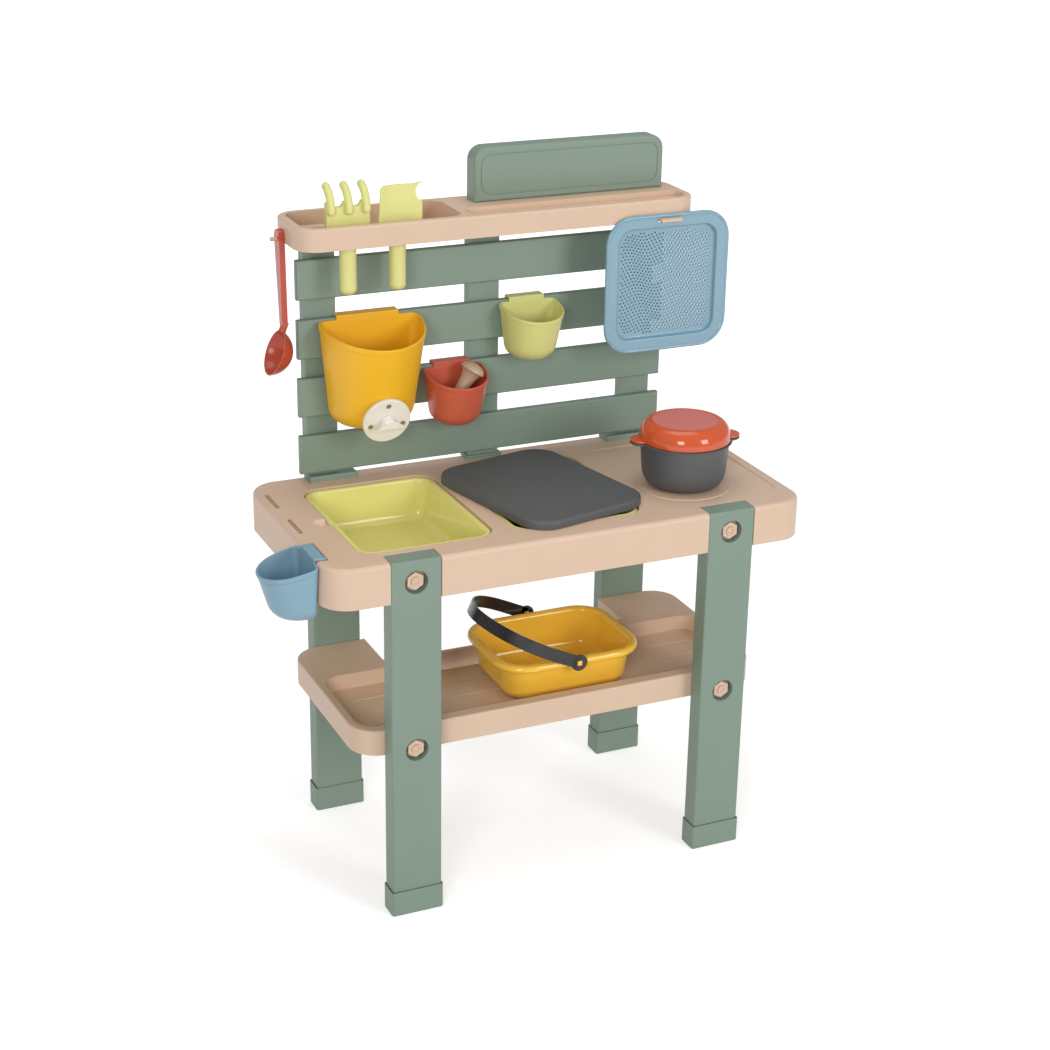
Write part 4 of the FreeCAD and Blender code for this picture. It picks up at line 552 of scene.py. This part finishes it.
class KITCHEN_OT_basins(bpy.types.Operator):
    """Makes the two lime basins"""

    bl_idname = "kitchen.basins"
    bl_label = "Basins"

    def execute(self, context):
        # The wall leans in by its draft over its fall. The foot's turn is drawn narrower than it is high.
        draft, fall, narrow = 12, 62, 0.6
        lean = math.degrees(math.atan2(draft, fall))
        throat = 4
        sunk = 42.1 - throat * (1 - math.sin(math.radians(lean)))
        inner_foot = [(inward * narrow, down) for inward, down in bend(17, lean - 90, 0, 8)]
        outer_foot = [(inward * narrow, down) for inward, down in bend(18, 90 - lean, 0, 8)]
        for side, body, x in (("left", "left_basin", -193.75), ("middle", "middle_basin", 23.25)):
            bm = bmesh.new()
            top, bottom = thicken(bm, panel(bm, 189.8, 243.8, 27.4, steps=10), 1.4)
            lip = draw(bm, top, [*bend(3.2, 90, 0, 5), (1.6, 0), *bend(throat, 0, lean - 90, 5)])
            draw(bm, lip, [(sunk * draft / fall, -sunk), *inner_foot])
            draw(bm, bottom, [(6, 0), *bend(1.5, 0, 90 - lean, 3), (7.6, 41.5), *outer_foot])
            move = Matrix.Translation((x, -6, 511))
            name, gloss = side + "_basin_moulding", finish("lime gloss polypropylene")
            cast(bm, name, body, gloss, ["basin_" + side], move)
        return {"FINISHED"}


def hanging_tub(bm, s):
    """A tub with a flat back, a round front, a falling rim, a lip and a hook over its back."""
    foot_steps = 6
    face = panel(bm, s["base_width"], s["base_depth"], s["corner"], s["base_width"] / 2 - 0.01, 14)
    bmesh.ops.remove_doubles(bm, verts=face.verts, dist=0.1)
    (face,) = bm.faces
    bmesh.ops.translate(bm, vec=(0, -s["base_depth"] / 2, 0), verts=face.verts)
    plan = [(v.co.x / s["base_width"], v.co.y / s["base_depth"]) for v in face.verts]

    def lay(face, pull, back, height, tilt=1.0):
        """Sets a ring on the tub's wall, pulled inward, with its back on a line and its rim tilted."""
        for vert, (across, deep) in zip(face.verts, plan):
            level = height
            for _ in range(5):
                share = level / s["height"]
                width = s["base_width"] + share * (s["width"] - s["base_width"]) - 2 * pull
                depth = s["base_depth"] + share * (s["depth"] - s["base_depth"]) - pull - back
                y = deep * depth - back
                level = height + tilt * s["slope"] * y
            vert.co = (across * width, y, level)

    def foot(step, radius, floor):
        """How far a rounded foot pulls in and how high it stands at one of its steps."""
        angle = math.pi / 2 * step / foot_steps
        return radius * (1 - math.sin(angle)), floor + radius * (1 - math.cos(angle))

    wall, lip, rim = s["wall"], s["lip"], s["height"]
    rings = [(*foot(step, s["foot"], 0), 0, 0) for step in range(foot_steps + 1)]
    band = rim - s["band"]
    rings += [(0, rim * 0.5, 0, 0.5), (0, band - 0.5, 0, 1), (0.5, band, 0, 1)]
    rings += [(-lip * 0.6, band + 0.6, 0, 1), (-lip, band + 1.8, 0, 1), (-lip, rim - 1.2, 0, 1)]
    rings += [(-lip * 0.6, rim - 0.35, 0, 1), (0.1, rim, 0.2, 1), (wall * 0.6, rim, wall * 0.6, 1)]
    rings += [(wall * 0.9, rim - 0.3, wall * 0.9, 1), (wall, rim - 1.1, wall, 1)]
    rings += [(wall, rim * 0.5, wall, 0.5)]
    for step in range(foot_steps, -1, -1):
        pull, height = foot(step, s["foot"] - wall, wall)
        rings.append((pull + wall, height, wall, 0))
    for index, (pull, height, back, tilt) in enumerate(rings):
        if index:
            below = face
            made = bmesh.ops.extrude_face_region(bm, geom=[below])["geom"]
            (face,) = [g for g in made if isinstance(g, bmesh.types.BMFace)]
            if index > 1:
                bm.faces.remove(below)
        lay(face, pull, back, height, tilt)
    half, gap, sheet, drop = s["hook"] / 2, 12, 2.8, 13
    top = rim + 3.5 + sheet
    bar(bm, -half, half, -wall + 0.25, -0.25, rim - 2, top, 0.7)
    bar(bm, -half, half, -wall + 0.2, gap + sheet, top - sheet, top, 1.2, 3)
    bar(bm, -half, half, gap, gap + sheet, top - sheet - drop, top, 0.9)


class KITCHEN_OT_tubs(bpy.types.Operator):
    """Makes the bucket and the three hanging cups"""

    bl_idname = "kitchen.tubs"
    bl_label = "Bucket and cups"

    def execute(self, context):
        sizes = context.scene.kitchen_sizes
        cup = {
            "width": 88, "depth": 73, "height": 79, "base_width": 66, "base_depth": 50, "foot": 19,
            "corner": 6, "wall": 2.4, "slope": 0.22, "band": 7, "hook": 54, "lip": sizes.lip_step,
        }
        bucket = {
            "width": 147, "depth": 106, "height": 148, "base_width": 116, "base_depth": 62, "foot": 26,
            "corner": 8, "wall": 2.8, "slope": 0.2, "band": 9, "hook": 90, "lip": sizes.lip_step,
        }
        for name, size, node, body, material, slot, move in (
            ("bucket_moulding", bucket, "bucket", "tap_bucket", "sun polypropylene", "sun",
             Matrix.Translation((-177.5, SLAT_FRONT_Y, 599.2))),
            ("lime_cup_moulding", cup, "lime_cup", "hanging_lime_cup", "lime satin polypropylene", "lime",
             Matrix.Translation((60, SLAT_FRONT_Y, 668.2))),
            ("red_cup_moulding", cup, "red_cup", "hanging_red_cup", "terracotta polypropylene", "terracotta",
             Matrix.Translation((-54, SLAT_FRONT_Y, 585.5))),
            ("blue_cup_moulding", cup, "blue_cup", "hanging_blue_cup", "sky satin polypropylene", "sky",
             Matrix.Translation((-349.3, -100, 434.8)) @ Matrix.Rotation(-math.pi / 2, 4, "Z")),
        ):
            bm = bmesh.new()
            hanging_tub(bm, size)
            cast(bm, name, body, finish(material), [node], move)
        return {"FINISHED"}


class KITCHEN_OT_pot(bpy.types.Operator):
    """Makes the pot and its lid"""

    bl_idname = "kitchen.pot"
    bl_label = "Pot and lid"

    def execute(self, context):
        ear_turn = Matrix.Rotation(math.radians(EAR_TURN), 4, "Z")
        height, radius, lean = 66, 66, 84.0
        bm = bmesh.new()
        curve = [(move[0] * 0.69, move[1]) for move in bend(26, 0, lean, 8)]
        turned(bm, (0, 0), [(42, 0), *curve, (3.0, 37), (0.4, 0.4), *bend(1.0, 45, 0, 2), (2.0, 0),
                            *bend(0.9, 0, 180, 4), (-3.6, 0), *bend(1.4, 180, 264, 3), (-3.3, -36),
                            *[(-x, -z) for x, z in reversed(curve)], (-39, 0)])
        zs = [v.co.z for v in bm.verts]
        bmesh.ops.scale(bm, vec=(1, 1, height / max(zs)), verts=bm.verts)
        xs = [v.co.x for v in bm.verts]
        bmesh.ops.scale(bm, vec=(radius / max(xs), radius / max(xs), 1), verts=bm.verts)
        self.ears(bm, height - 3, height, ear_turn)
        place = Matrix.Translation((POT_X, POT_Y, 517.3))
        cast(bm, "pot_moulding", "cooking_pot", finish("graphite polypropylene"), ["pot"], place)

        bm = bmesh.new()
        # The dome is a quarter of an ellipse, from the rim's band up to the disc.
        rise, flare, crown, band, wall = 23, 17, 46.5, 4, 2.6
        disc, skirt = 45.0, 57.0
        arcs = [math.radians(9 * step) for step in range(10, -1, -1)]
        dome = [(crown + flare * math.cos(a), band + rise * math.sin(a)) for a in arcs]
        hollow = [
            (crown + (flare - wall) * math.cos(a), band + (rise - wall) * math.sin(a)) for a in reversed(arcs)
        ]
        rim = [(63.5, 1.0), (62.6, 0.1), (59.4, 0.1), (59.2, -4.6), (58.6, -5.0), (57.4, -5.0), (skirt, -4.6)]
        inside = [p for p in hollow if p[0] < skirt and p[1] > band]
        walk = [(0, 26.4), (disc, 26.4), (disc + 0.4, 26.8), *dome, *rim, (skirt, band), *inside, (0, 24.2)]
        turned(bm, walk[0], [(x1 - x0, z1 - z0) for (x0, z0), (x1, z1) in zip(walk, walk[1:])], 96)
        self.ears(bm, 0.3, 3.3, ear_turn)
        place = Matrix.Translation((POT_X, POT_Y, 583.6))
        skins = [finish("chilli gloss polypropylene"), finish("lid disc polypropylene")]
        lid = cast(bm, "lid_moulding", "pot_cover", skins, ["pot_lid"], place)
        for face in lid.data.polygons:
            middle = face.center / MM
            away = math.hypot(middle.x - POT_X, middle.y - POT_Y)
            if away < disc + 0.1 and middle.z > 600:
                face.material_index = 1
        return {"FINISHED"}

    def ears(self, bm, z0, z1, turn):
        """Two round-ended grips on opposite sides, with a soft edge."""
        reach, width, middle, cut = 42, 34, 58, 61.1
        for side in (-1, 1):
            before = set(bm.verts)
            thicken(bm, panel(bm, reach, width, width / 2 - 0.1, steps=12), z1 - z0)
            soften(bm, rims_of(set(bm.verts) - before), 1.1, 3)
            made = set(bm.verts) - before
            bmesh.ops.translate(bm, vec=(middle, 0, z0), verts=list(made))
            near = [*made, *{e for v in made for e in v.link_edges}, *{f for v in made for f in v.link_faces}]
            bmesh.ops.bisect_plane(
                bm, geom=near, plane_co=(cut, 0, 0), plane_no=(1, 0, 0), clear_inner=True, dist=0.0001
            )
            made = [v for v in bm.verts if v not in before]
            rims = [e for e in {e for v in made for e in v.link_edges} if e.is_boundary]
            bmesh.ops.holes_fill(bm, edges=rims)
            flip = Matrix.Rotation(math.pi if side < 0 else 0, 4, "Z")
            bmesh.ops.transform(bm, matrix=turn @ flip, verts=made)


class KITCHEN_OT_board(bpy.types.Operator):
    """Makes the chopping board"""

    bl_idname = "kitchen.board"
    bl_label = "Chopping board"

    def execute(self, context):
        bm = bmesh.new()
        top, bottom = thicken(bm, panel(bm, 194, 250, 38, steps=12), 7.4)
        draw(bm, top, [*bend(4, 90, 4, 6)])
        draw(bm, bottom, [*bend(0.6, 90, 0, 2), (2.4, 0), (0, -7), (1, 0)])
        move = Matrix.Translation((17, -8, 517.9)) @ Matrix.Rotation(math.radians(12.5), 4, "Z")
        matt = finish("graphite polypropylene")
        cast(bm, "board_moulding", "chopping_board", matt, ["board"], move)
        return {"FINISHED"}


class KITCHEN_OT_basket(bpy.types.Operator):
    """Makes the carry basket and its strap handle"""

    bl_idname = "kitchen.basket"
    bl_label = "Basket"

    def execute(self, context):
        bm = bmesh.new()
        lean = math.degrees(math.atan2(8, 61.5))
        place_x, place_y, bead_z, pivot_z = 30.5, -29.5, 300.6, 302.8
        bead, under, inner_foot, outer_foot = 5.3, 4.6, 16, 18
        top, bottom = thicken(bm, panel(bm, 219, 172, 48, steps=14), 0.8)
        over = [*bend(bead, 90, 0, 6), (3, 0), *bend(bead, 0, lean - 90, 6)]
        draw(bm, top, [*over, (5.2, -40.3), *bend(inner_foot, lean - 90, 0, 8)])
        below = [*bend(under, 90, 0, 5), (6.2, 0), *bend(1, 0, 90 - lean, 3)]
        draw(bm, bottom, [*below, (4.4, 34.1), *bend(outer_foot, 90 - lean, 0, 8)])
        peg, pivot = 3.4, pivot_z - bead_z
        for side in (-1, 1):
            near, far = sorted((side * 84, side * 92.2))
            bar(bm, -peg, peg, near, far, pivot - peg, pivot + peg, 0.8)
        move = Matrix.Translation((place_x, place_y, bead_z))
        gloss = finish("amber gloss polypropylene")
        cast(bm, "basket_moulding", "carry_basket", gloss, ["basket"], move)

        bm = bmesh.new()
        middle, straight, width, sheet, eye = 89.1, 40.6, 18, 2.6, 12
        start = bmesh.ops.create_grid(bm, x_segments=1, y_segments=1, size=0.5)["verts"]
        bmesh.ops.scale(bm, vec=(width, sheet, 1), verts=start)
        bmesh.ops.translate(bm, vec=(0, middle, 0), verts=start)
        rise = bmesh.ops.extrude_face_region(bm, geom=[start[0].link_faces[0]])["geom"]
        verts = [g for g in rise if isinstance(g, bmesh.types.BMVert)]
        bmesh.ops.translate(bm, vec=(0, 0, straight), verts=verts)
        (end,) = [g for g in rise if isinstance(g, bmesh.types.BMFace)]
        swept = bmesh.ops.spin(
            bm,
            geom=[end, *end.edges, *end.verts],
            cent=(0, 0, straight),
            axis=(1, 0, 0),
            angle=math.pi,
            steps=40,
        )["geom_last"]
        if max(v.co.z for v in bm.verts) < straight + 1:
            raise RuntimeError("the strap's crown turned the wrong way")
        (end,) = [g for g in swept if isinstance(g, bmesh.types.BMFace)]
        fall = bmesh.ops.extrude_face_region(bm, geom=[end])["geom"]
        verts = [g for g in fall if isinstance(g, bmesh.types.BMVert)]
        bmesh.ops.translate(bm, vec=(0, 0, -straight), verts=verts)
        soften(bm, [e for e in bm.edges if e.is_manifold and e.calc_face_angle(0) > SHARP_RIM], 0.6, 2)
        for side in (-1, 1):
            facing = Matrix.Translation((0, side * middle, 0)) @ Matrix.Rotation(math.pi / 2, 4, "X")
            disc = bmesh.ops.create_cone(
                bm, cap_ends=True, segments=32, radius1=eye, radius2=eye, depth=sheet, matrix=facing
            )
            soften(bm, rims_of(disc["verts"]), 0.6, 2)
        rest = Matrix.Rotation(math.radians(25.5 - 90), 4, "Y")
        move = Matrix.Translation((place_x, place_y, pivot_z)) @ rest
        satin = finish("strap polypropylene")
        cast(bm, "strap_moulding", "carry_handle", satin, ["basket_handle"], move)
        return {"FINISHED"}


class KITCHEN_OT_sieve(bpy.types.Operator):
    """Makes the sieve with its wavy rows of holes"""

    bl_idname = "kitchen.sieve"
    bl_label = "Sieve"

    def execute(self, context):
        sizes = context.scene.kitchen_sizes
        bm = bmesh.new()
        top, bottom = thicken(bm, panel(bm, 193, 197, 40, steps=12), 1.6)
        # Front: the rolled outer edge, the flange, and the wall down to the pan's floor.
        front = draw(bm, top, [*bend(2.6, 90, -35, 6)])
        rolled = max(v.co.z for v in front.verts)
        flange_front, flange_back = 2.9, -0.5
        front = draw(bm, front, [(1.2, flange_front - rolled)])
        front = draw(bm, front, [(12.0, 0), *bend(2.2, 0, -86, 4), (0.3, -3.2), *bend(2.5, -86, 0, 4)])
        floor_z = front.verts[0].co.z
        edge = [*bend(0.5, 90, 0, 2), (17.0, 0), *bend(1.0, 0, 86, 3)]
        back = draw(bm, bottom, [*edge, (0.2, 4.0), *bend(2.2, 86, 0, 4)])
        back_z = back.verts[0].co.z
        # The slot over the tray's tab goes through the flange's upper side.
        strips = [
            f for f in bm.faces
            if f.calc_center_median().y > 80 and abs(f.calc_center_median().x) < 1 and f.calc_area() > 700
            and abs(f.normal.z) > 0.99
        ]
        for strip in strips:
            bm.faces.remove(strip)
        before = set(bm.verts)
        caps = thicken(bm, panel(bm, 36, 6.4, 3.1, steps=6), flange_front - flange_back)
        slot_verts = [v for v in bm.verts if v not in before]
        for cap in caps:
            bm.faces.remove(cap)
        bmesh.ops.translate(bm, vec=(0, 89.5, flange_back), verts=slot_verts)
        for level in (flange_front, flange_back):
            self.fill(bm, level, 0.02, 70)
        # The holes run in rows that swing like ripples, within the pan's rounded corners.
        bm.faces.remove(front)
        bm.faces.remove(back)
        half_x, half_y, corner, margin = 73.0, 75.0, 19.0, 3
        last_row, last_column = 16, 15
        ripple_length, ripple_shift = 64, 34
        radius, pitch, wave = sizes.hole_radius, sizes.hole_pitch, sizes.hole_wave
        for row in range(-last_row, last_row + 1):
            for column in range(-last_column, last_column + 1):
                x, y = (column + (row % 2) * 0.5) * pitch, row * pitch * 0.92
                y += wave * math.sin(math.tau * x / ripple_length + y / ripple_shift)
                dx, dy = abs(x) - (half_x - corner), abs(y) - (half_y - corner)
                if max(dx, 0) ** 2 + max(dy, 0) ** 2 > (corner - margin) ** 2:
                    continue
                bmesh.ops.create_cone(
                    bm,
                    cap_ends=False,
                    segments=8,
                    radius1=radius,
                    radius2=radius,
                    depth=floor_z - back_z,
                    matrix=Matrix.Translation((x, y, (floor_z + back_z) / 2)),
                )
        for level in (floor_z, back_z):
            self.fill(bm, level, 0.005)
        upright = Matrix(((1, 0, 0, 0), (0, 0, -1, 0), (0, 1, 0, 0), (0, 0, 0, 1)))
        move = Matrix.Translation((244.75, 72.9, 772.3)) @ upright
        cast(bm, "sieve_moulding", "hanging_sieve", finish("sky gloss polypropylene"), ["sieve"], move)
        return {"FINISHED"}

    def fill(self, bm, level, slack, lowest=-math.inf):
        """Fills a level between its open edges, above a line."""
        edges = [
            e for e in bm.edges
            if e.is_boundary and all(abs(v.co.z - level) < slack and v.co.y > lowest for v in e.verts)
        ]
        bmesh.ops.triangle_fill(bm, edges=edges, use_beauty=True)


class KITCHEN_OT_tools(bpy.types.Operator):
    """Makes the rake, the shovel and the ladle"""

    bl_idname = "kitchen.tools"
    bl_label = "Rake, shovel and ladle"

    def execute(self, context):
        for node, body, material, slot, edge in (
            ("rake", "garden_rake", "lime satin polypropylene", "lime", 1.2),
            ("shovel", "garden_shovel", "lime satin polypropylene", "lime", 0.8),
            ("ladle", "hanging_ladle", "brick gloss polypropylene", "terracotta", 0.8),
        ):
            refine(node, body, finish(material), edge, 40)
        return {"FINISHED"}


class KITCHEN_OT_tap(bpy.types.Operator):
    """Makes the bucket's tap: a disc with three screws, and a knob with a fan-shaped wing"""

    bl_idname = "kitchen.tap"
    bl_label = "Tap"

    def execute(self, context):
        out = Vector((0, -0.9585, -0.285)).normalized()
        along = Vector((1, 0, 0))
        up = out.cross(along)
        turn = Matrix((along, up, out)).transposed().to_4x4()
        place = Matrix.Translation((-177.5, 73.06, 621.2)) @ turn
        refine("tap_plate", "tap_bucket", finish("cream acetal"), 0.3)
        refine("tap_screws", "tap_bucket", finish("zinc-plated steel"), 0.2)
        bm = bmesh.new()
        stem = [(6, 0), (0, 9.3), (3.4, 0), *bend(0.7, 0, 90, 2)]
        turned(bm, (0, -4), [*stem, (-2.4, 6.4), *bend(1.6, 110, 180, 4), (-9, 0)], 48)
        # The wing is narrow at its root and bows out along its far edge.
        width, depth, sheet, root, bow = 36, 16, 5.2, 0.34, 2.1
        before = set(bm.verts)
        fan = panel(bm, width, depth, 0.9, 2.2, 6)
        for vert in fan.verts:
            across, deep = vert.co.x, (vert.co.y + depth / 2) / depth
            vert.co.x = across * (root + (1 - root) * deep)
            vert.co.y += bow * (1 - (across / (width / 2)) ** 2) * deep
        thicken(bm, fan, sheet)
        made = list(set(bm.verts) - before)
        soften(bm, rims_of(made), 0.9, 3)
        made = [v for v in bm.verts if v not in before]
        bmesh.ops.translate(bm, vec=(0, 0, -sheet / 2), verts=made)
        bmesh.ops.rotate(bm, cent=(0, 0, 0), matrix=Matrix.Rotation(math.pi / 2, 3, "X"), verts=made)
        bmesh.ops.translate(bm, vec=(0, 0, 14.0), verts=made)
        cast(bm, "tap_knob_moulding", "tap_handle", finish("cream acetal"), ["tap_knob"], place)
        return {"FINISHED"}


class KITCHEN_OT_pestle(bpy.types.Operator):
    """Makes the mushroom-headed pestle"""

    bl_idname = "kitchen.pestle"
    bl_label = "Pestle"

    def execute(self, context):
        bm = bmesh.new()
        tall = 92
        stick = [(6, 0), *bend(3, 0, 90, 4), (0, 36), (0.4, 16), (1.3, 12), (2.3, 7.5)]
        neck = [(2.9, 3.6), (1.2, 0.4), *bend(1.1, 0, 100, 4)]
        head = [(-0.9, 3.0), (-2.4, 3.0), (-3.9, 2.6), (-4.9, 1.6), (-5.0, 0.7)]
        turned(bm, (0, 0), [*stick, *neck, *head], 64)
        zs = [v.co.z for v in bm.verts]
        bmesh.ops.scale(bm, vec=(1, 1, tall / max(zs)), verts=bm.verts)
        crown = [v for v in bm.verts if v.co.z > tall - 0.1]
        for vert in crown:
            vert.co.z = tall
        bmesh.ops.contextual_create(bm, geom=crown)
        lean = Matrix.Rotation(math.radians(33), 4, "Y")
        place = Matrix.Translation((-75, 119.2, 592.2)) @ lean
        waxy = finish("sand polyethylene")
        cast(bm, "pestle_moulding", "grinding_pestle", waxy, ["pestle"], place)
        return {"FINISHED"}


OPERATORS = (
    KITCHEN_OT_stage,
    KITCHEN_OT_frame,
    KITCHEN_OT_bolts,
    KITCHEN_OT_basins,
    KITCHEN_OT_tubs,
    KITCHEN_OT_pot,
    KITCHEN_OT_board,
    KITCHEN_OT_basket,
    KITCHEN_OT_sieve,
    KITCHEN_OT_tools,
    KITCHEN_OT_tap,
    KITCHEN_OT_pestle,
)


class KITCHEN_PT_panel(bpy.types.Panel):
    """Lists the steps that dress the mud kitchen"""

    bl_idname = "KITCHEN_PT_panel"
    bl_label = "Mud kitchen"
    bl_space_type = "VIEW_3D"
    bl_region_type = "UI"
    bl_category = "Mud kitchen"

    def draw(self, context):
        for operator in OPERATORS:
            self.layout.operator(operator.bl_idname)


CLASSES = (KitchenColours, KitchenSizes, *OPERATORS, KITCHEN_PT_panel)


def register():
    for each in CLASSES:
        bpy.utils.register_class(each)
    bpy.types.Scene.kitchen_colours = bpy.props.PointerProperty(type=KitchenColours)
    bpy.types.Scene.kitchen_sizes = bpy.props.PointerProperty(type=KitchenSizes)


def unregister():
    del bpy.types.Scene.kitchen_colours
    del bpy.types.Scene.kitchen_sizes
    for each in reversed(CLASSES):
        bpy.utils.unregister_class(each)


def main():
    register()
    for operator in OPERATORS:
        group, name = operator.bl_idname.split(".")
        getattr(getattr(bpy.ops, group), name)()


if __name__ == "__main__":
    main()
